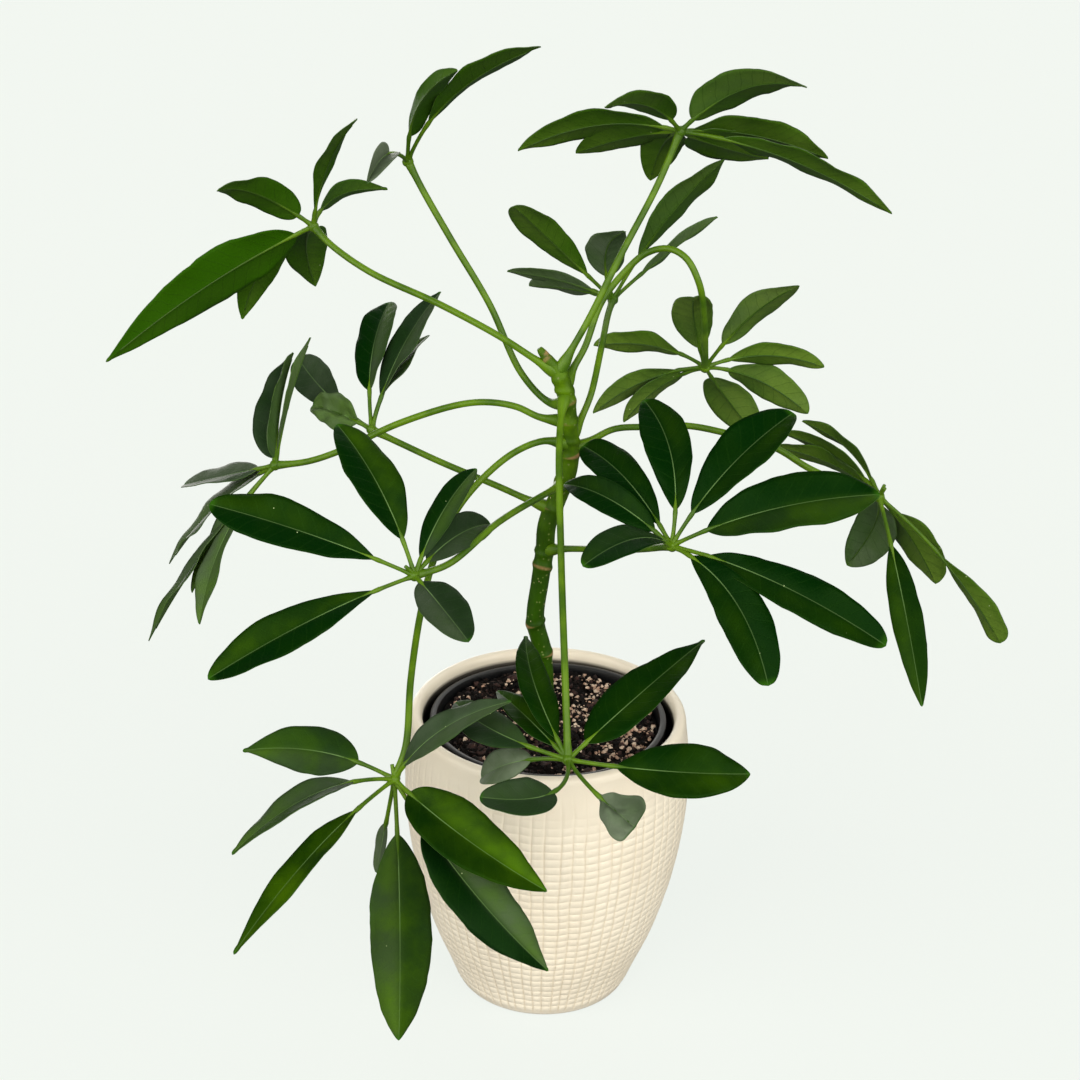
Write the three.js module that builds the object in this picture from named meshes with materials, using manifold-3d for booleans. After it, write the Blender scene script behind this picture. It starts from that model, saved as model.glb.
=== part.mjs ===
// Potted dwarf umbrella plant: a cream ceramic cover pot, a black nursery pot, potting mix,
// one trunk and twelve compound leaves, each with its leaflets spread round a hub.
// Units are millimetres and +Z is up. The origin is the centre of the pot's underside.

import * as THREE from 'three';
import { mergeVertices } from 'three/addons/utils/BufferGeometryUtils.js';
import Module from 'manifold-3d';

const wasm = await Module();
wasm.setup();

// Driving dimensions
const SEAT_GAP = 0.3; // clearance between two pieces that touch
const FLATNESS = 0.03; // faces that lie within this of each other are joined

const POT_HEIGHT = 164.5;
const POT_FOOT_RADIUS = 45.5;
const POT_BELLY_RADIUS = 76;
const POT_OPENING_RADIUS = 67.3;
const POT_LIP_RADIUS = 73.6;
const POT_LIP_START = 160.5; // where the side turns over into the round lip
const POT_FOOT_EDGE = 47.4; // radius above the small round at the foot
const POT_FLOOR_ROUND = 4; // between the inside wall and the floor
const POT_WALL = 6.5;
const POT_FLOOR = 12;
const RELIEF_COLUMNS = 28; // raised tiles round the pot
const RELIEF_ROWS = 11;
const RELIEF_DEPTH = 0.9;
const RELIEF_BOTTOM = 4;
const RELIEF_TOP = 142; // the band above is smooth

const NURSERY_RIM_RADIUS = 63;
const NURSERY_RIM_TOP = 160;
const NURSERY_RIM_DROP = 6;
const NURSERY_TOP_RADIUS = 60.6; // outside of the wall under the rim
const NURSERY_FOOT_RADIUS = 39;
const NURSERY_WALL = 1.4;
const NURSERY_SEGMENTS = 30;
const DRAIN_HOLES = 6;
const DRAIN_RADIUS = 4.5;
const DRAIN_CIRCLE = 24;

const MIX_TOP = 155.5;
const MIX_ROUGHNESS = 1.3;
const MIX_SEGMENTS = 30;
const GRAIN_COUNT = 19;
const GRAIN_SMALL = 1.9;
const GRAIN_LARGE = 3.1;

const TRUNK_FOOT_RADIUS = 4.9;
const TRUNK_TIP_RADIUS = 4.2;
const SCAR_RISE = 0.7; // how far a leaf scar's ring stands out
const SCAR_WIDTH = 2.4;
const ROOT_DEPTH = 60; // how far the trunk goes down into the mix

const STALK_RADIUS = 1.65;
const STALK_FOOT_RADIUS = 3;
const STALK_SIDES = 6;
const STALK_SPACING = 19; // between the sections of a stalk's middle run
const HUB_RADIUS = 4;
const LEAFLET_STALK_RADIUS = 1.15;
const BLADE_THICKNESS = 0.8;
const BLADE_FOLD = THREE.MathUtils.degToRad(11); // each half rises this much from the midrib
const BLADE_STATIONS = [0.15, 0.38, 0.62, 0.85, 1];
const TIP_HALF_WIDTH = 0.7;
const RIB_RISE = 0.15; // how far the midrib stands above and below the blade's faces

// Materials
function finish(colour, roughness) {
  return new THREE.MeshStandardMaterial({ color: colour, roughness, metalness: 0 });
}

const CREAM_GLAZE = () => finish(0xefe3cb, 0.45);
const BLACK_PLASTIC = () => finish(0x1b1d20, 0.5);
const DARK_MIX = () => finish(0x2a211c, 0.95);
const GREEN_BARK = () => finish(0x5d7a2c, 0.6);
const LEAF_GREEN = () => finish(0x1f5222, 0.35);

// Solids and meshes
function point(x, y, z) {
  return new THREE.Vector3(x, y, z);
}

/** The closed solid of a geometry whose faces point out. */
function solidOf(geometry) {
  const bare = geometry.clone();
  bare.deleteAttribute('normal');
  bare.deleteAttribute('uv');
  const merged = mergeVertices(bare, 1e-4);
  const corners = Array.from(merged.index.array);
  const kept = [];
  for (let i = 0; i < corners.length; i += 3) {
    const [a, b, c] = corners.slice(i, i + 3);
    if (a !== b && b !== c && c !== a) {
      kept.push(a, b, c);
    }
  }
  const mesh = new wasm.Mesh({
    numProp: 3,
    vertProperties: new Float32Array(merged.attributes.position.array),
    triVerts: new Uint32Array(kept),
  });
  return new wasm.Manifold(mesh);
}

/** The largest body of a solid: scraps and sealed hollows are dropped. */
function mainBody(solid) {
  const bodies = solid.decompose();
  return bodies.reduce((best, body) => (body.volume() > best.volume() ? body : best));
}

function meshOf(name, solid, material) {
  const shape = mainBody(solid).simplify(FLATNESS).getMesh();
  const geometry = new THREE.BufferGeometry();
  geometry.setAttribute('position', new THREE.BufferAttribute(new Float32Array(shape.vertProperties), 3));
  geometry.setIndex(Array.from(shape.triVerts));
  geometry.computeVertexNormals();
  const mesh = new THREE.Mesh(geometry, material);
  mesh.name = name;
  return mesh;
}

/** A closed body through rings of points. The rings run round the way ahead, and both ends are closed. */
function loft(rings) {
  const count = rings[0].length;
  const positions = rings.flat().flatMap((p) => [p.x, p.y, p.z]);
  const index = [];
  for (let i = 0; i + 1 < rings.length; i += 1) {
    for (let k = 0; k < count; k += 1) {
      const here = i * count + k;
      const beside = i * count + ((k + 1) % count);
      const ahead = here + count;
      const across = beside + count;
      // The two faces of a blade are split the same way.
      if (k < count / 2) {
        index.push(here, beside, across, here, across, ahead);
      } else {
        index.push(here, beside, ahead, beside, across, ahead);
      }
    }
  }
  const last = (rings.length - 1) * count;
  for (let k = 1; k + 1 < count; k += 1) {
    index.push(0, k + 1, k);
    index.push(last, last + k, last + k + 1);
  }
  const geometry = new THREE.BufferGeometry();
  geometry.setAttribute('position', new THREE.Float32BufferAttribute(positions, 3));
  geometry.setIndex(index);
  return geometry;
}

/** A turned body: the profile holds [radius, height] pairs that run anticlockwise in its half plane. */
function turned(profile, segments) {
  const points = profile.map(([radius, height]) => new THREE.Vector2(radius, height));
  return new THREE.LatheGeometry(points, segments).rotateX(Math.PI / 2);
}

/** Seeded numbers from 0 to 1, the same each time. */
function seeded(seed) {
  let state = seed;
  return () => {
    state = (state * 1664525 + 1013904223) % 4294967296;
    return state / 4294967296;
  };
}

// Cover pot
const POT_SIDE = new THREE.SplineCurve([
  new THREE.Vector2(48.5, RELIEF_BOTTOM),
  new THREE.Vector2(53, 16),
  new THREE.Vector2(61.5, 38),
  new THREE.Vector2(70.5, 72),
  new THREE.Vector2(75, 102),
  new THREE.Vector2(POT_BELLY_RADIUS, 122),
  new THREE.Vector2(75.1, 147),
  new THREE.Vector2(POT_LIP_RADIUS, 159.5),
]);

/** Outside radius of the pot's side at a height. */
function sideRadius(height) {
  const samples = POT_SIDE.getPoints(120);
  const above = samples.findIndex((p) => p.y >= height);
  if (above <= 0) {
    return samples[above === 0 ? 0 : samples.length - 1].x;
  }
  const low = samples[above - 1];
  const high = samples[above];
  return THREE.MathUtils.mapLinear(height, low.y, high.y, low.x, high.x);
}

/** How far the tiles stand out at a place on the side: 1 in the middle of a tile, 0 in a groove. */
function tileRise(angle, height) {
  if (height < RELIEF_BOTTOM || height > RELIEF_TOP) {
    return 0;
  }
  const column = (angle / (2 * Math.PI)) * RELIEF_COLUMNS;
  const row = ((height - RELIEF_BOTTOM) / (RELIEF_TOP - RELIEF_BOTTOM)) * RELIEF_ROWS;
  return Math.abs(Math.sin(Math.PI * column) * Math.sin(Math.PI * row));
}

function ceramicPot() {
  const ringStep = (RELIEF_TOP - RELIEF_BOTTOM) / (RELIEF_ROWS * 2);
  const side = [];
  for (let i = 0; i <= RELIEF_ROWS * 2; i += 1) {
    const height = RELIEF_BOTTOM + i * ringStep;
    side.push([sideRadius(height), height]);
  }
  const inside = [150, 92, 40].map((height) => [sideRadius(height) - POT_WALL - 1, height]);
  const profile = [
    [0, 0],
    [POT_FOOT_RADIUS, 0],
    [POT_FOOT_EDGE, 1.2],
    ...side,
    [sideRadius(150), 150],
    [POT_LIP_RADIUS, POT_LIP_START],
    [72.6, 163.3],
    [70.4, POT_HEIGHT],
    [68.4, 163.9],
    [POT_OPENING_RADIUS, 161.9],
    ...inside,
    [sideRadius(POT_FLOOR) - POT_WALL, POT_FLOOR + POT_FLOOR_ROUND],
    [sideRadius(POT_FLOOR) - POT_WALL - POT_FLOOR_ROUND, POT_FLOOR],
    [0, POT_FLOOR],
  ];
  const geometry = turned(profile, RELIEF_COLUMNS * 2);
  const place = geometry.attributes.position;
  for (let i = 0; i < place.count; i += 1) {
    const radius = Math.hypot(place.getX(i), place.getY(i));
    const height = place.getZ(i);
    const onSide = height > 0 && radius > sideRadius(height) - POT_WALL / 2;
    if (onSide) {
      const angle = Math.atan2(place.getY(i), place.getX(i));
      const grown = 1 + (RELIEF_DEPTH * tileRise(angle, height)) / radius;
      place.setX(i, place.getX(i) * grown);
      place.setY(i, place.getY(i) * grown);
    }
  }
  return solidOf(geometry);
}

// Nursery pot
const NURSERY_FOOT = POT_FLOOR + SEAT_GAP;
const NURSERY_SHOULDER = NURSERY_RIM_TOP - NURSERY_RIM_DROP;

/** Outside radius of the nursery pot's tapered wall at a height. */
function nurseryRadius(height) {
  return THREE.MathUtils.mapLinear(
    height, NURSERY_FOOT, NURSERY_SHOULDER, NURSERY_FOOT_RADIUS, NURSERY_TOP_RADIUS,
  );
}

function nurseryPot() {
  const inner = nurseryRadius(NURSERY_SHOULDER) - NURSERY_WALL;
  const profile = [
    [0, NURSERY_FOOT],
    [NURSERY_FOOT_RADIUS - 2, NURSERY_FOOT],
    [NURSERY_FOOT_RADIUS, NURSERY_FOOT + 2],
    [nurseryRadius(NURSERY_SHOULDER), NURSERY_SHOULDER],
    [NURSERY_RIM_RADIUS - 0.4, NURSERY_SHOULDER],
    [NURSERY_RIM_RADIUS, NURSERY_RIM_TOP - 1],
    [NURSERY_RIM_RADIUS - 1, NURSERY_RIM_TOP],
    [inner + 0.8, NURSERY_RIM_TOP],
    [inner, NURSERY_RIM_TOP - 1],
    [inner, NURSERY_SHOULDER],
    [NURSERY_FOOT_RADIUS - NURSERY_WALL, NURSERY_FOOT + NURSERY_WALL],
    [0, NURSERY_FOOT + NURSERY_WALL],
  ];
  let pot = solidOf(turned(profile, NURSERY_SEGMENTS));
  for (let i = 0; i < DRAIN_HOLES; i += 1) {
    const angle = (i * 2 * Math.PI) / DRAIN_HOLES;
    const drill = new THREE.CylinderGeometry(DRAIN_RADIUS, DRAIN_RADIUS, 6 * NURSERY_WALL, 10)
      .rotateX(Math.PI / 2)
      .translate(DRAIN_CIRCLE * Math.cos(angle), DRAIN_CIRCLE * Math.sin(angle), NURSERY_FOOT);
    pot = pot.subtract(solidOf(drill));
  }
  return pot;
}

// Trunk
const TRUNK_LINE = new THREE.CatmullRomCurve3([
  point(-2, 25, MIX_TOP - ROOT_DEPTH),
  point(-2, 25, 150),
  point(-4, 25, 186),
  point(-8, 24, 205),
  point(-6, 23, 228),
  point(-4, 23, 247),
  point(-3, 22, 262),
  point(2, 22, 277),
  point(7, 21, 293),
  point(8, 21, 302),
  point(7, 20, 320),
  point(5, 20, 335),
  point(1, 20, 347),
], false, 'centripetal');
const BUD_TIP = point(-9, 20, 360);
const SCAR_HEIGHTS = [186, 204, 238, 247, 271, 286, 303, 310, 322, 331, 338, 346];
const TRUNK_TOP = 350;
const TRUNK_SIDES = 8;
const TRUNK_STEPS = 36;

/** Middle of the trunk at a height. */
function trunkAt(height) {
  const samples = TRUNK_LINE.getPoints(160);
  return samples.reduce((best, p) => (Math.abs(p.z - height) < Math.abs(best.z - height) ? p : best));
}

function trunkRadius(height) {
  const share = THREE.MathUtils.clamp((height - MIX_TOP) / (TRUNK_TOP - MIX_TOP), 0, 1);
  const plain = THREE.MathUtils.lerp(TRUNK_FOOT_RADIUS, TRUNK_TIP_RADIUS, share);
  const scars = SCAR_HEIGHTS.map((scar) => SCAR_RISE * Math.exp(-(((height - scar) / SCAR_WIDTH) ** 2)));
  return plain + Math.max(...scars);
}

/** Points round a circle that stands across a line. */
function sectionRing(centre, across, over, radius, sides) {
  const ring = [];
  for (let k = 0; k < sides; k += 1) {
    const angle = (k * 2 * Math.PI) / sides;
    ring.push(centre.clone()
      .addScaledVector(across, radius * Math.cos(angle))
      .addScaledVector(over, radius * Math.sin(angle)));
  }
  return ring;
}

/** The trunk with the bud at its tip, made thicker all round by a clearance where a hole is wanted. */
function trunk(clearance) {
  const steps = TRUNK_STEPS;
  const frames = TRUNK_LINE.computeFrenetFrames(steps, false);
  const rings = [];
  for (let i = 0; i <= steps; i += 1) {
    const centre = TRUNK_LINE.getPointAt(i / steps);
    const radius = trunkRadius(centre.z) + clearance;
    rings.push(sectionRing(centre, frames.normals[i], frames.binormals[i], radius, TRUNK_SIDES));
  }
  const end = TRUNK_LINE.getPointAt(1);
  const budLine = BUD_TIP.clone().sub(end);
  for (const [share, radius] of [[0.4, 2.6], [0.75, 1.7], [1, 0.7]]) {
    const centre = end.clone().addScaledVector(budLine, share);
    const ring = sectionRing(
      centre, frames.normals[steps], frames.binormals[steps], radius + clearance, TRUNK_SIDES,
    );
    rings.push(ring);
  }
  if (clearance > 0) {
    rings[0].forEach((p) => p.setZ(p.z - clearance));
  }
  return solidOf(loft(rings));
}

// Potting mix
function mixHeight(x, y) {
  const waves = Math.sin(x * 0.31 + 1.2) * Math.cos(y * 0.27) + 0.6 * Math.sin(x * 0.13 - y * 0.17);
  return MIX_TOP + MIX_ROUGHNESS * waves;
}

function pottingMix() {
  const foot = NURSERY_FOOT + NURSERY_WALL + SEAT_GAP;
  const gap = NURSERY_WALL + SEAT_GAP + 0.2;
  const edge = nurseryRadius(MIX_TOP - 4) - gap;
  const rings = [0.84, 0.66, 0.46, 0.24].map((share) => [edge * share, MIX_TOP]);
  const profile = [
    [0, foot],
    [NURSERY_FOOT_RADIUS - gap - 1, foot],
    [nurseryRadius(foot + 6) - gap - 0.4, foot + 6],
    [edge, MIX_TOP - 4],
    [edge, MIX_TOP - 1],
    ...rings,
    [0, MIX_TOP],
  ];
  const geometry = turned(profile, MIX_SEGMENTS);
  const place = geometry.attributes.position;
  for (let i = 0; i < place.count; i += 1) {
    if (place.getZ(i) > MIX_TOP - 2) {
      const drop = MIX_TOP - place.getZ(i);
      place.setZ(i, mixHeight(place.getX(i), place.getY(i)) - drop);
    }
  }
  let mix = solidOf(geometry);
  const draw = seeded(7);
  const between = (low, high) => low + (high - low) * draw();
  for (let i = 0; i < GRAIN_COUNT; i += 1) {
    const angle = between(0, 2 * Math.PI);
    const reach = (edge - 4) * Math.sqrt(between(0.02, 1));
    const x = reach * Math.cos(angle);
    const y = reach * Math.sin(angle);
    const size = between(GRAIN_SMALL, GRAIN_LARGE);
    const grain = new THREE.OctahedronGeometry(size)
      .scale(1, between(0.65, 1), between(0.6, 0.9))
      .rotateX(between(0, 3))
      .rotateZ(between(0, 3))
      .translate(x, y, mixHeight(x, y) + 0.2 * size);
    mix = mix.add(solidOf(grain));
  }
  return mix.subtract(trunk(SEAT_GAP));
}

// Compound leaves
/**
 * One leaflet. The heading is the compass turn of its line from +X and the rise its slope, in degrees.
 * The reach runs from the hub to the tip, and the stalk is the share of it before the blade.
 * The roll turns the blade's upper side to its right. The bow bends the line's middle to its right and the
 * arch lifts it, in millimetres. The form says how slowly the outline opens from the base and closes to
 * the tip.
 */
function leaflet(heading, rise, reach, width, roll, stalk, bow, arch, form) {
  return { heading, rise, reach, width, roll, stalk, bow, arch, form };
}

/** Blade width as a share of its widest, from the base at 0 to the tip at 1. */
function bladeWidth(along, [opening, closing]) {
  const at = (t) => t ** opening * (1 - t) ** closing;
  return at(along) / at(opening / (opening + closing));
}

/** Six points round a blade: its left edge, midrib and right edge on top, then the same below. */
function bladeRing(centre, side, up, half, edge, rib, lift) {
  const place = (sideways, upward) => centre.clone()
    .addScaledVector(side, sideways)
    .addScaledVector(up, upward);
  return [
    place(-half, lift + edge),
    place(0, rib),
    place(half, lift + edge),
    place(half, lift - edge),
    place(0, -rib),
    place(-half, lift - edge),
  ];
}

function leafletSolid(hub, spec) {
  const heading = THREE.MathUtils.degToRad(spec.heading);
  const rise = THREE.MathUtils.degToRad(spec.rise);
  const roll = THREE.MathUtils.degToRad(spec.roll);
  const line = point(Math.cos(rise) * Math.cos(heading), Math.cos(rise) * Math.sin(heading), Math.sin(rise));
  const upright = point(
    -Math.sin(rise) * Math.cos(heading), -Math.sin(rise) * Math.sin(heading), Math.cos(rise),
  );
  const right = line.clone().cross(upright);
  const up = upright.clone().multiplyScalar(Math.cos(roll)).addScaledVector(right, Math.sin(roll));
  const side = line.clone().cross(up);
  const section = (t, half, edge, rib, lift) => {
    const bent = 4 * t * (1 - t);
    const turning = 4 * (1 - 2 * t);
    const centre = hub.clone()
      .addScaledVector(line, spec.reach * t)
      .addScaledVector(side, spec.bow * bent)
      .addScaledVector(up, spec.arch * bent);
    const ahead = line.clone().multiplyScalar(spec.reach)
      .addScaledVector(side, spec.bow * turning)
      .addScaledVector(up, spec.arch * turning)
      .normalize();
    const over = side.clone().cross(ahead).normalize();
    return bladeRing(centre, ahead.clone().cross(over), over, half, edge, rib, lift);
  };
  const r = LEAFLET_STALK_RADIUS;
  const rings = [
    section(0, r, 0.6 * r, r, 0),
    section(spec.stalk, r, 0.6 * r, r, 0),
  ];
  for (const along of BLADE_STATIONS) {
    const half = Math.max((spec.width / 2) * bladeWidth(along, spec.form), TIP_HALF_WIDTH);
    const t = spec.stalk + (1 - spec.stalk) * along;
    const edge = BLADE_THICKNESS / 2;
    rings.push(section(t, half * Math.cos(BLADE_FOLD), edge, edge + RIB_RISE, half * Math.sin(BLADE_FOLD)));
  }
  return solidOf(loft(rings));
}

/** The long stalk from the trunk to the hub, thick at the trunk and a little swollen at the hub. */
function stalkSolid(route) {
  const curve = new THREE.CatmullRomCurve3(route, false, 'centripetal');
  const length = curve.getLength();
  const stations = [0, 6, 12, 20];
  const middle = Math.max(2, Math.round((length - 30) / STALK_SPACING));
  for (let i = 1; i <= middle; i += 1) {
    stations.push(20 + ((length - 26) * i) / middle);
  }
  stations.push(length);
  const steps = 200;
  const frames = curve.computeFrenetFrames(steps, false);
  const rings = stations.map((station) => {
    const i = Math.min(steps, Math.round((station / length) * steps));
    const flare = (STALK_FOOT_RADIUS - STALK_RADIUS) * Math.exp(-((Math.max(0, station - 4) / 6) ** 2));
    const swell = 0.5 * Math.exp(-(((length - station) / 7) ** 2));
    const radius = STALK_RADIUS + flare + swell;
    const centre = curve.getPointAt(i / steps);
    return sectionRing(centre, frames.normals[i], frames.binormals[i], radius, STALK_SIDES);
  });
  return solidOf(loft(rings));
}

function compoundLeaf({ attach, via, hub, leaflets }) {
  const start = trunkAt(attach);
  const end = point(...hub);
  const route = [start, ...via.map((p) => point(...p)), end];
  let leaf = stalkSolid(route).add(solidOf(
    new THREE.IcosahedronGeometry(HUB_RADIUS, 0).translate(...hub),
  ));
  for (const spec of leaflets) {
    leaf = leaf.add(leafletSolid(end, spec));
  }
  return leaf.subtract(trunk(SEAT_GAP));
}

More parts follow.
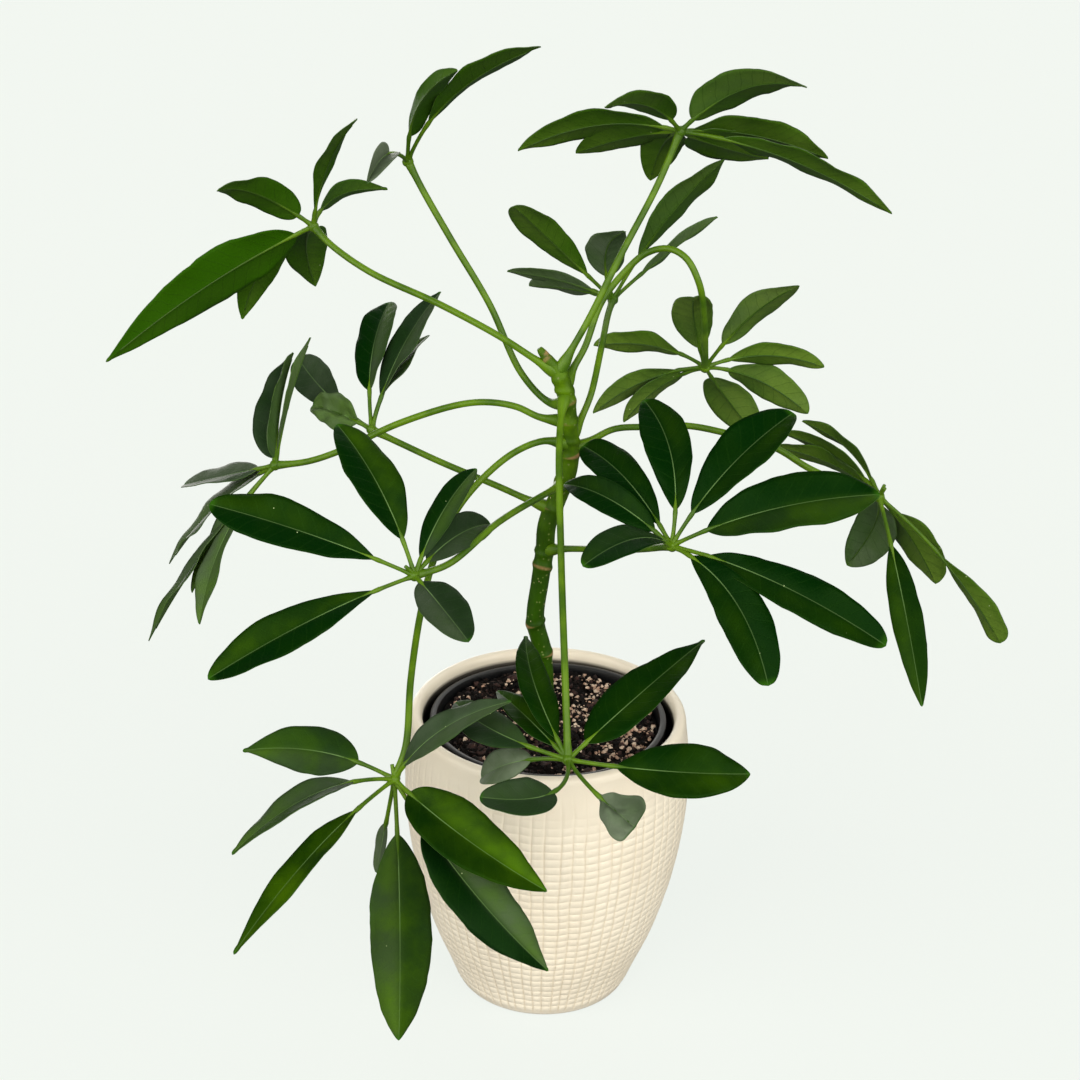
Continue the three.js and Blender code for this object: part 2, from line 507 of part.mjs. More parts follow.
// Each leaf: where its stalk leaves the trunk, the points the stalk passes, its hub and its leaflets
const LEAVES = {
  leaf_top_left: {
    attach: 346,
    via: [[-12, 19, 355], [-29, 22, 365], [-60, 38, 376], [-97, 58, 386], [-119, 73, 396]],
    hub: [-128, 80, 403],
    leaflets: [
      leaflet(232, 26, 74, 19, 54, 0.12, 0.5, 11, [0.4, 0.85]),
      leaflet(313, 59, 74, 17, 16, 0.1, -0.5, 6, [1.2, 0.7]),
      leaflet(52, 8, 58, 16, -61, 0.2, 0.5, 10, [0.6, 1]),
      leaflet(188, -33, 132, 30, 76, 0.08, 1, 11, [0.6, 1]),
      leaflet(147, -50, 80, 22, 38, 0.3, -5, 8, [0.6, 0.9]),
      leaflet(96, -45, 68, 25, -12, 0.16, -3, 6.8, [0.45, 0.8]),
    ],
  },
  leaf_top_centre: {
    attach: 331,
    via: [[-4, 29, 328], [-18, 35, 341], [-35, 46, 374], [-55, 57, 404], [-70, 66, 427]],
    hub: [-78, 70, 441],
    leaflets: [
      leaflet(298, 45, 82, 18, -50, 0.2, 8.5, 1, [0.35, 0.7]),
      leaflet(328, 41, 104, 23, -14, 0.26, 8, 7, [0.9, 0.6]),
      leaflet(255, 4, 62, 17, -40, 0.45, 6, 6.2, [0.35, 0.6]),
    ],
  },
  leaf_top_right: {
    attach: 347,
    via: [[6, 21, 357], [16, 26, 375], [30, 36, 403], [48, 51, 436]],
    hub: [59, 60, 462],
    leaflets: [
      leaflet(322, 25, 79, 25, -38, 0.1, 1.5, 11, [0.55, 0.9]),
      leaflet(20, -13, 86, 28, -39, 0.08, -2, 7, [0.55, 0.85]),
      leaflet(6, -21, 120, 24, -36, 0.18, -2.5, 9, [0.9, 0.95]),
      leaflet(38, -20, 66, 26, -38, 0.14, -3, 1, [0.5, 0.7]),
      leaflet(232, 20, 68, 22, 30, 0.16, -4, 6, [0.6, 0.75]),
      leaflet(157, -13, 91, 25, 44, 0.1, 0, 10, [0.75, 0.9]),
      leaflet(139, -19, 72, 23, 38, 0.15, 2, 4.5, [0.6, 0.7]),
      leaflet(103, -37, 64, 22, 16, 0.2, -2, 6.4, [0.4, 0.65]),
    ],
  },
  leaf_back_middle: {
    attach: 311,
    via: [[14, 32, 320], [18, 38, 329], [23, 60, 346], [27, 92, 354]],
    hub: [30, 110, 357],
    leaflets: [
      leaflet(215, 43, 90, 19, 50, 0.21, 4.5, 9, [0.75, 0.55]),
      leaflet(149, 3, 68, 15, 44, 0.2, 2, 4, [0.8, 0.8]),
      leaflet(138, -6, 62, 17, 40, 0.25, 2, 3, [0.8, 0.6]),
      leaflet(275, 50, 66, 22, -12, 0.22, 8, 6.6, [0.55, 1]),
      leaflet(335, 55, 104, 22, -36, 0.26, -1, 7, [0.9, 0.9]),
      leaflet(41, 23, 84, 14, -60, 0.3, -3, 3, [0.8, 0.8]),
    ],
  },
  leaf_back_right: {
    attach: 338,
    via: [
      [8, 28, 346], [14, 34, 356], [22, 44, 377], [33, 50, 391], [44, 52, 401], [55, 48, 405],
      [64, 42, 402], [71, 38, 390], [75, 46, 369],
    ],
    hub: [79, 72, 333],
    leaflets: [
      leaflet(253, 54, 62, 22, 18, 0.2, 2, 6.2, [0.6, 0.5]),
      leaflet(326, 47, 76, 19, -42, 0.2, -0.5, 7.6, [0.7, 0.8]),
      leaflet(359, 2, 63, 18, -65, 0.2, 1, 8, [0.7, 0.75]),
      leaflet(15, -27, 68, 22, -64, 0.22, 1, 8, [0.7, 0.65]),
      leaflet(40, -49, 70, 24, -44, 0.2, -4, 7, [0.65, 0.6]),
      leaflet(156, -41, 60, 15, 46, 0.23, -1, 6, [0.8, 0.75]),
      leaflet(165, -29, 69, 16, 55, 0.23, -1, 6.9, [0.8, 0.75]),
      leaflet(147, -2, 70, 17, 60, 0.25, -1, 7, [0.8, 0.7]),
    ],
  },
  leaf_far_right: {
    attach: 304,
    via: [
      [17, 24, 308], [30, 28, 314], [47, 30, 315], [67, 28, 317], [86, 25, 315], [113, 20, 309],
      [132, 16, 299],
    ],
    hub: [167, 10, 287],
    leaflets: [
      leaflet(125, 18.5, 66, 14, 60, 0.16, -1, 6.6, [0.55, 0.7]),
      leaflet(131, 11, 70, 18, 56, 0.18, 0, 6, [0.75, 0.7]),
      leaflet(133, 4.5, 72, 18, 58, 0.17, 3, 7.2, [0.75, 0.7]),
      leaflet(104, -58, 64, 26, 60, 0.12, 1.5, 6.4, [0.55, 0.6]),
      leaflet(286, -50, 110, 16.5, 10, 0.24, 0.5, 7, [0.75, 0.8]),
      leaflet(25, -54, 70, 28, -25, 0.22, -1, 4, [0.6, 0.6]),
      leaflet(352, -48, 104, 20, -45, 0.4, 1, 5, [1.4, 0.5]),
    ],
  },
  leaf_front_right: {
    attach: 247,
    via: [[6, 14, 252], [15, 8, 255], [29, -12, 264], [45, -40, 278]],
    hub: [57, -60, 289],
    leaflets: [
      leaflet(225, 8, 62, 17, -24, 0.08, 2, 9, [0.9, 0.5]),
      leaflet(135, 7, 74, 16.5, -43, 0.14, 3, 9, [0.6, 0.7]),
      leaflet(122, 16, 84, 20, -36, 0.14, 4.5, 7, [0.8, 0.55]),
      leaflet(101, 36, 84, 23.5, -25, 0.19, 9.5, 7, [0.75, 0.65]),
      leaflet(29, 41, 88, 27.5, 21, 0.2, -0.7, 8.8, [0.8, 0.55]),
      leaflet(352, 20, 103, 30, 41, 0.19, -1.5, 9, [0.7, 0.65]),
      leaflet(323, -7, 120, 21, 42, 0.18, -3, 8, [0.75, 0.5]),
      leaflet(302, -25, 90, 23, 39, 0.14, -10, 7, [0.75, 0.45]),
    ],
  },
  leaf_upper_left: {
    attach: 271,
    via: [[-12, 23, 275], [-28, 26, 281], [-60, 35, 291], [-81, 42, 298]],
    hub: [-96, 45, 304],
    leaflets: [
      leaflet(86, 36, 82, 23, -29, 0.26, -1, 7, [0.7, 0.5]),
      leaflet(60, 41, 88, 18, -16, 0.2, -0.5, 6, [0.8, 0.9]),
      leaflet(62, 31, 68, 16, -20, 0.3, -3, 5, [0.8, 0.8]),
      leaflet(126, 12, 78, 22, -42, 0.36, -3, 2, [0.7, 0.5]),
      leaflet(148, 8, 39, 20, -48, 0.25, 1, 0, [0.5, 0.5]),
    ],
  },
  leaf_far_left: {
    attach: 321,
    via: [
      [-8, 17, 324], [-20, 18, 329], [-34, 21, 330], [-49, 22, 328], [-80, 22, 317], [-113, 22, 300],
      [-128, 21, 295],
    ],
    hub: [-144, 20, 293],
    leaflets: [
      leaflet(85, 39, 68, 24, -54, 0.05, 3, 4, [0.5, 0.9]),
      leaflet(76, 42, 76, 15, -76, 0.08, 0, 2, [0.8, 0.9]),
      leaflet(147, -23, 70, 20, -18, 0.15, -3.5, 2, [0.6, 0.6]),
      leaflet(159, -46, 96, 24, -22, 0.1, 5, 4, [0.8, 0.8]),
      leaflet(186, -55, 122, 20, 2, 0.3, 0, 4, [0.9, 0.8]),
      leaflet(190, -57, 84, 20, -14, 0.27, 3, 2, [0.8, 0.7]),
      leaflet(216, -59, 92, 16, -5, 0.35, 4.5, 6, [0.8, 0.8]),
    ],
  },
  leaf_front_left: {
    attach: 286,
    via: [[0, 9, 288], [-27, -20, 282], [-51, -50, 272]],
    hub: [-67, -60, 270],
    leaflets: [
      leaflet(129, 41, 88, 24, -17, 0.2, 2, 8.8, [0.75, 0.7]),
      leaflet(176, 18, 105, 25, -42, 0.19, 0, 6, [0.95, 0.6]),
      leaflet(211, -15, 113, 22, -30, 0.19, 0, 7, [1, 0.65]),
      leaflet(61, 32, 68, 14, 12, 0.12, -1.5, 6.8, [0.7, 0.7]),
      leaflet(52, 8, 58, 19, 37, 0.16, -3.5, 5.8, [0.6, 0.5]),
      leaflet(297, -6, 63, 22, 13, 0.12, 0.3, 2, [0.7, 0.6]),
    ],
  },
  leaf_lower_left: {
    attach: 308,
    via: [
      [-6, 12, 313], [-20, 9, 308], [-35, 3, 297], [-49, -7, 282], [-60, -24, 261], [-65, -45, 243],
      [-68, -78, 222], [-69, -103, 199],
    ],
    hub: [-74, -110, 185],
    leaflets: [
      leaflet(166, 2, 78, 25, -41, 0.25, 6.5, 1, [0.65, 1.1]),
      leaflet(220, -4, 92, 17, 4, 0.26, -1, 12, [0.6, 1]),
      leaflet(233, -20, 118, 15, 0, 0.24, -3, 11, [0.8, 1]),
      leaflet(142, -78, 60, 9, -80, 0.46, 0, 0, [0.6, 0.6]),
      leaflet(276, -76, 134, 31, -8, 0.2, -1, 3, [0.72, 0.82]),
      leaflet(331, -22, 92, 30, 31, 0.12, 5.5, 9.2, [0.6, 0.9]),
      leaflet(332, -43, 118, 29, 31, 0.22, 7.5, 11, [0.7, 0.95]),
      leaflet(355, 40, 73, 17, 30, 0.12, -3, 7.3, [0.7, 0.9]),
    ],
  },
  leaf_front_centre: {
    attach: 336,
    via: [[3, 10, 330], [2, -10, 317], [4, -55, 278], [7, -103, 238]],
    hub: [9, -125, 207],
    leaflets: [
      leaflet(108, 24, 76, 16.5, 0, 0.13, -6.5, 7.6, [0.8, 1]),
      leaflet(44, 19, 98, 24, 16, 0.12, 2, 6, [0.6, 1.1]),
      leaflet(357, -2, 86, 28, 40, 0.26, 5, 8.6, [0.9, 0.85]),
      leaflet(309, -14, 51, 26, 34, 0.57, 2.5, 5.4, [1, 0.15]),
      leaflet(225, 3, 57, 20, -25, 0.46, -15.5, 6, [0.5, 0.5]),
      leaflet(153, -27, 52, 18, -40, 0.35, 1.5, 5.2, [0.6, 0.5]),
      leaflet(140, 3, 72, 19, -24, 0.25, -8, 7.2, [0.8, 0.8]),
      leaflet(126, 9, 60, 14.5, -18, 0.14, -1.5, 6, [0.8, 0.9]),
    ],
  },
};

const plant = new THREE.Group();
plant.add(meshOf('ceramic_pot', ceramicPot(), CREAM_GLAZE()));
plant.add(meshOf('nursery_pot', nurseryPot(), BLACK_PLASTIC()));
plant.add(meshOf('potting_mix', pottingMix(), DARK_MIX()));
plant.add(meshOf('trunk', trunk(0), GREEN_BARK()));
for (const [name, leaf] of Object.entries(LEAVES)) {
  plant.add(meshOf(name, compoundLeaf(leaf), LEAF_GREEN()));
}

export default plant;
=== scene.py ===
"""A potted dwarf umbrella plant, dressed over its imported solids.

The pot, the nursery pot, the mix, the trunk and the twelve leaves are each built again with finer meshes
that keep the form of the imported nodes. Sizes are in millimetres until they reach a mesh, and +Z is up.
"""

import logging
import math
import random
from bisect import bisect_left
from dataclasses import dataclass
from enum import Enum
from typing import Callable, NamedTuple, Sequence

import bmesh
import bpy
from bmesh.types import BMesh, BMVert
from bpy.types import Material, Node, NodeSocket, NodeTree
from mathutils import Matrix, Vector, geometry, noise


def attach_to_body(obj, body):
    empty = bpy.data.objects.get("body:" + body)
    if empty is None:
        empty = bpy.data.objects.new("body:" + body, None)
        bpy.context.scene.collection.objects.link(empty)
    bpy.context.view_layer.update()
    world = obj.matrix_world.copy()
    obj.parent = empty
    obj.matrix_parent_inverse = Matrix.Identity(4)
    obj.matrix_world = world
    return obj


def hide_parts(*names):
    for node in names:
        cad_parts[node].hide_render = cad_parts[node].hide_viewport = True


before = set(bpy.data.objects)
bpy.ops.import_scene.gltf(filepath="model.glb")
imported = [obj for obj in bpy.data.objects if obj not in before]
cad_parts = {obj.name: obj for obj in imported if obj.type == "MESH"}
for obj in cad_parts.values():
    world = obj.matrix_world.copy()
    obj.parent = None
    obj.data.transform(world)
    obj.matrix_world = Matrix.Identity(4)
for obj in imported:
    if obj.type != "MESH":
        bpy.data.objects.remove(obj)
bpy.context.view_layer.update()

MM = 0.001
FULL_TURN = 2 * math.pi
BODY = "root"
LOG = logging.getLogger("umbrella_plant")

# Node settings that come back often
EASED = {"interpolation_type": "SMOOTHSTEP"}
COLOURS = {"data_type": "RGBA"}
PLUS = {"operation": "ADD"}
TIMES = {"operation": "MULTIPLY"}
TIMES_PLUS = {"operation": "MULTIPLY_ADD"}
UNSIGNED = {"operation": "ABSOLUTE"}


# Sums


def clamp(value: float, low: float = 0.0, high: float = 1.0) -> float:
    """Keep a value within two bounds."""
    return min(max(value, low), high)


def smooth(share: float) -> float:
    """Ease from 0 to 1, flat at both ends."""
    held = clamp(share)
    return held * held * (3 - 2 * held)


def bell(offset: float, width: float) -> float:
    """Swell to 1 at no offset, and fade over a width to both sides."""
    return math.exp(-((offset / width) ** 2))


def per_metre(size: float) -> float:
    """Scale of a pattern whose grains have a size in millimetres."""
    return 1 / (size * MM)


def mix_height(x: float, y: float) -> float:
    """Height of the potting mix at a place, before its crumbs."""
    waves = math.sin(x * 0.31 + 1.2) * math.cos(y * 0.27) + 0.6 * math.sin(x * 0.13 - y * 0.17)
    return 155.4 + 1.1 * waves + 1.4 * smooth(y / 55)


# Colours and nodes


def linear(code: str) -> tuple[float, float, float, float]:
    """Turn an sRGB hex colour into a linear one.

    Args:
        code: the colour, such as "#EFE3CB".

    Returns:
        Red, green, blue and alpha.
    """
    channels = [int(code[i : i + 2], 16) / 255 for i in (1, 3, 5)]
    curved = [c / 12.92 if c <= 0.04045 else ((c + 0.055) / 1.055) ** 2.4 for c in channels]
    return (curved[0], curved[1], curved[2], 1.0)


def feed(node: Node, settings: dict) -> None:
    """Set or link a node's properties and inputs.

    Args:
        node: the node.
        settings: what each property or input gets, by its name or number: a value, an sRGB hex colour, or the
            node or output that feeds it.
    """
    for key, value in settings.items():
        if isinstance(value, Node):
            value = next(output for output in value.outputs if output.enabled)
        if isinstance(key, str) and hasattr(node, key):
            setattr(node, key, value)
        elif isinstance(value, NodeSocket):
            node.id_data.links.new(value, node.inputs[key])
        else:
            node.inputs[key].default_value = linear(value) if isinstance(value, str) else value


def add_node(tree: NodeTree, kind: str, settings: dict) -> Node:
    """Add a node with its settings and links.

    Args:
        tree: the node tree that gets it.
        kind: the node's Blender type, without "ShaderNode" before it.
        settings: what each of its properties and inputs gets.

    Returns:
        The new node.
    """
    node = tree.nodes.new(f"ShaderNode{kind}")
    feed(node, settings)
    return node


class Surface:
    """A material in the making: one principled shader and the nodes that feed it."""

    def __init__(self, name: str, settings: dict) -> None:
        """Start the material.

        Args:
            name: its name.
            settings: the shader's own settings.
        """
        self.material = bpy.data.materials.new(name)
        self.material.use_nodes = True
        self.tree = self.material.node_tree
        self.tree.nodes.clear()
        self.shader = self.add("BsdfPrincipled", settings)
        self.add("OutputMaterial", {"Surface": self.shader})

    def add(self, kind: str, settings: dict) -> Node:
        """Add a node to this material."""
        return add_node(self.tree, kind, settings)

    def place(self) -> NodeSocket:
        """Read the place on the object, in metres."""
        return self.add("TexCoord", {}).outputs["Object"]

    def finish(
        self,
        colour: Node,
        height: Node,
        strength: float,
        depth: float,
        sunken: bool = False,
    ) -> Material:
        """Give the shader its colour and its fine relief.

        Args:
            colour: its colour.
            height: the height of the relief.
            strength: how much of the relief shows.
            depth: how deep it is, in millimetres.
            sunken: whether the high places sink instead.

        Returns:
            The material.
        """
        relief = {"invert": sunken, "Strength": strength, "Distance": depth * MM, "Height": height}
        feed(self.shader, {"Base Color": colour, "Normal": self.add("Bump", relief)})
        return self.material


# Finishes


@dataclass(frozen=True)
class GrainedFinish:
    """A finish whose one grain gives it both its two tones and its relief.

    Turns says from where to where in the grain the first tone turns into the second. The relief is how much
    of it shows and how deep it is, in millimetres.
    """

    name: str
    tones: tuple[str, str]
    grain_mm: float
    detail: float
    turns: tuple[float, float]
    roughness: float
    relief: tuple[float, float]
    ior: float = 1.45
    specular: float = 0.5

    def build(self) -> Material:
        """Make the material.

        Returns:
            The material.
        """
        settings = {"Roughness": self.roughness, "IOR": self.ior, "Specular IOR Level": self.specular}
        surface = Surface(self.name, settings)
        pattern = {"Vector": surface.place(), "Scale": per_metre(self.grain_mm), "Detail": self.detail}
        grain = surface.add("TexNoise", pattern)
        share = surface.add("MapRange", EASED | {0: grain, 1: self.turns[0], 2: self.turns[1]})
        colour = surface.add("Mix", COLOURS | {0: share, 6: self.tones[0], 7: self.tones[1]})
        return surface.finish(colour, grain, *self.relief)


@dataclass(frozen=True)
class CrumblyMix(GrainedFinish):
    """Damp peat and composted bark: nearly black with brown fibres and no shine."""

    name: str = "damp_potting_mix"
    tones: tuple[str, str] = ("#080504", "#1E120C")
    grain_mm: float = 2.2
    detail: float = 6.0
    turns: tuple[float, float] = (0.45, 0.75)
    roughness: float = 0.85
    relief: tuple[float, float] = (0.8, 0.6)
    ior: float = 1.4
    specular: float = 0.25


@dataclass(frozen=True)
class BarkChips(GrainedFinish):
    """Composted pine bark: reddish brown flakes with a dull fibrous face."""

    name: str = "composted_bark"
    tones: tuple[str, str] = ("#351C15", "#120A07")
    grain_mm: float = 1.4
    detail: float = 5.0
    turns: tuple[float, float] = (0.4, 0.7)
    roughness: float = 0.8
    relief: tuple[float, float] = (0.7, 0.4)


@dataclass(frozen=True)
class BareClay(GrainedFinish):
    """Unglazed stoneware where the pot stands: dry, buff and sandy."""

    name: str = "bare_stoneware"
    tones: tuple[str, str] = ("#CDB698", "#A98F70")
    grain_mm: float = 1.0
    detail: float = 3.0
    turns: tuple[float, float] = (0.45, 0.7)
    roughness: float = 0.9
    relief: tuple[float, float] = (0.5, 0.3)


@dataclass(frozen=True)
class CorkPore(GrainedFinish):
    """Corky breathing pores on young bark: pale, dry and a little rough."""

    name: str = "corky_pores"
    tones: tuple[str, str] = ("#C6C498", "#9C8A58")
    grain_mm: float = 1.11
    detail: float = 3.0
    turns: tuple[float, float] = (0.4, 0.65)
    roughness: float = 0.8
    relief: tuple[float, float] = (0.5, 0.1)
    ior: float = 1.4


@dataclass(frozen=True)
class LeafMargin(GrainedFinish):
    """The thin yellow-green edge of a leathery blade, a little waxy."""

    name: str = "leaf_margin"
    tones: tuple[str, str] = ("#3E5A1E", "#24400E")
    grain_mm: float = 8.33
    detail: float = 3.0
    turns: tuple[float, float] = (0.4, 0.65)
    roughness: float = 0.45
    relief: tuple[float, float] = (0.2, 0.1)


@dataclass(frozen=True)
class SatinGlaze:
    """A satin cream glaze on stoneware: soft wide highlights, and a slightly darker tone painted into the
    grooves as shade.
    """

    light: str = "#F2E9D6"
    shade: str = "#EDE3CF"
    # Slightly darker tone painted in the grooves as painted shade
    groove: str = "#E6DAC3"
    # Near black painted on the inside wall below the lip as painted shade
    inside_shade_colour: str = "#14110F"
    cloud_mm: float = 45.5
    ripple_mm: float = 0.7

    def build(self) -> Material:
        """Make the material.

        It reads two of the piece's own attributes: "relief" is 1 on a tile and 0 in a groove, and
        "painted_inside_shade" is 1 down the inside wall below the lip, where near black is painted over the
        glaze as painted shade for the shadow in the gap between the pots.

        Returns:
            The material.
        """
        satin = {"Roughness": 0.4, "IOR": 1.5, "Coat Weight": 0.1, "Coat Roughness": 0.25}
        surface = Surface("satin_cream_glaze", satin)
        add = surface.add
        place = surface.place()
        cloud = add("TexNoise", {"Vector": place, "Scale": per_metre(self.cloud_mm), "Detail": 3.0})
        clouded = add("MapRange", EASED | {0: cloud, 1: 0.35, 2: 0.65})
        body = add("Mix", COLOURS | {0: clouded, 6: self.light, 7: self.shade})
        # Painted shade: the grooves take a slightly darker tone than the tiles
        relief = add("Attribute", {"attribute_name": "relief"}).outputs["Fac"]
        raised = add("MapRange", EASED | {0: relief, 1: 0.05, 2: 0.75})
        glazed = add("Mix", COLOURS | {0: raised, 6: self.groove, 7: body})
        # Painted shade: the inside wall below the lip turns near black, for the shadow in the gap between the
        # pots
        painted_inside_shade = add("Attribute", {"attribute_name": "painted_inside_shade"}).outputs["Fac"]
        glaze_and_inside_shade = add("Mix", COLOURS | {0: painted_inside_shade, 6: glazed, 7: self.inside_shade_colour})
        ripple = add("TexNoise", {"Vector": place, "Scale": per_metre(self.ripple_mm), "Detail": 2.0})
        return surface.finish(glaze_and_inside_shade, ripple, 0.25, 0.12)


@dataclass(frozen=True)
class MouldedPolypropylene:
    """Thin black polypropylene, blow moulded: a dull sheen with a slight grain and dust near the soil."""

    black: str = "#0B0C0E"
    dusty: str = "#17181A"
    dust_mm: float = 7.7
    grain_mm: float = 0.9

    def build(self) -> Material:
        """Make the material.

        Returns:
            The material.
        """
        surface = Surface("black_polypropylene", {"Roughness": 0.42, "IOR": 1.49})
        place = surface.place()
        dust = surface.add("TexNoise", {"Vector": place, "Scale": per_metre(self.dust_mm), "Detail": 5.0})
        dulled = surface.add("MapRange", EASED | {0: dust, 1: 0.5, 2: 0.8})
        colour = surface.add("Mix", COLOURS | {0: dulled, 6: self.black, 7: self.dusty})
        grain = surface.add("TexNoise", {"Vector": place, "Scale": per_metre(self.grain_mm)})
        return surface.finish(colour, grain, 0.3, 0.1)


@dataclass(frozen=True)
class PumiceGrit:
    """Tumbled pumice: pale tan to pinkish stone, rough and full of fine pores."""

    pale: str = "#E2CDB6"
    pink: str = "#B08C76"
    stained: str = "#6E5143"
    tone_mm: float = 3.85
    pore_mm: float = 0.6

    def build(self) -> Material:
        """Make the material.

        Returns:
            The material.
        """
        surface = Surface("pumice_grit", {"Roughness": 0.8, "IOR": 1.45})
        add = surface.add
        place = surface.place()
        tone = add("TexNoise", {"Vector": place, "Scale": per_metre(self.tone_mm), "Detail": 2.0})
        pores = add("TexNoise", {"Vector": place, "Scale": per_metre(self.pore_mm), "Detail": 4.0})
        pinker = add("MapRange", EASED | {0: tone, 1: 0.35, 2: 0.62})
        body = add("Mix", COLOURS | {0: pinker, 6: self.pale, 7: self.pink})
        pitted = add("MapRange", EASED | {0: pores, 1: 0.52, 2: 0.72})
        colour = add("Mix", COLOURS | {0: pitted, 6: body, 7: self.stained})
        return surface.finish(colour, pores, 0.6, 0.3)


@dataclass(frozen=True)
class YoungBark:
    """Smooth green bark of a young stem, with corky tan leaf scars and small pale pores."""

    green: str = "#2C5002"
    young: str = "#4E7004"
    dull: str = "#1E3A03"
    cork: str = "#94764E"
    pore: str = "#64763A"
    young_from: float = 0.22
    young_to: float = 0.33
    streak_mm: float = 11.1
    pore_mm: float = 3.4

    def build(self) -> Material:
        """Make the material, which is younger higher up. It reads the piece's "scar", 1 on a leaf scar.

        Returns:
            The material.
        """
        surface = Surface("green_bark", {"Roughness": 0.45, "IOR": 1.45, "Specular IOR Level": 0.15})
        add = surface.add
        place = surface.place()
        height = add("SeparateXYZ", {0: place}).outputs[2]
        higher = add("MapRange", EASED | {0: height, 1: self.young_from, 2: self.young_to})
        aged = add("Mix", COLOURS | {0: higher, 6: self.green, 7: self.young})
        streaks = add("TexNoise", {"Vector": place, "Scale": per_metre(self.streak_mm), "Detail": 4.0})
        duller = add("MapRange", EASED | {0: streaks, 1: 0.35, 2: 0.7, 4: 0.7})
        bark = add("Mix", COLOURS | {0: duller, 6: aged, 7: self.dull})
        pores = add("TexVoronoi", {"Vector": place, "Scale": per_metre(self.pore_mm)})
        off_pore = add("MapRange", EASED | {0: pores, 1: 0.12, 2: 0.2})
        dotted = add("Mix", COLOURS | {0: off_pore, 6: self.pore, 7: bark})
        scar = add("Attribute", {"attribute_name": "scar"}).outputs["Fac"]
        corky = add("MapRange", EASED | {0: scar, 1: 0.2, 2: 0.7, 4: 0.9})
        colour = add("Mix", COLOURS | {0: corky, 6: dotted, 7: self.cork})
        relief = add("Math", TIMES_PLUS | {0: scar, 1: 0.6, 2: streaks})
        return surface.finish(colour, relief, 0.4, 0.4)


@dataclass(frozen=True)
class GreenStalk:
    """Fresh green leaf stalk: smooth skin, yellower in the light, with faint lengthwise streaks."""

    bright: str = "#567808"
    deep: str = "#385A04"
    rib: str = "#2C4A0E"
    streak_mm: float = 18.2

    def build(self) -> Material:
        """Make the material. It reads the share along the blade in "blade", which is above 0 on a midrib.

        Returns:
            The material.
        """
        surface = Surface("green_stalk", {"Roughness": 0.42, "IOR": 1.45, "Specular IOR Level": 0.3})
        add = surface.add
        streaks = add(
            "TexNoise", {"Vector": surface.place(), "Scale": per_metre(self.streak_mm), "Detail": 4.0}
        )
        deeper = add("MapRange", EASED | {0: streaks, 1: 0.35, 2: 0.65})
        skin = add("Mix", COLOURS | {0: deeper, 6: self.bright, 7: self.deep})
        blade = add("Attribute", {"attribute_name": "blade"}).outputs["Vector"]
        along = add("SeparateXYZ", {0: blade}).outputs[0]
        on_blade = add("MapRange", EASED | {0: along, 1: 0.02, 2: 0.3, 4: 0.85})
        colour = add("Mix", COLOURS | {0: on_blade, 6: skin, 7: self.rib})
        return surface.finish(colour, streaks, 0.3, 0.2)


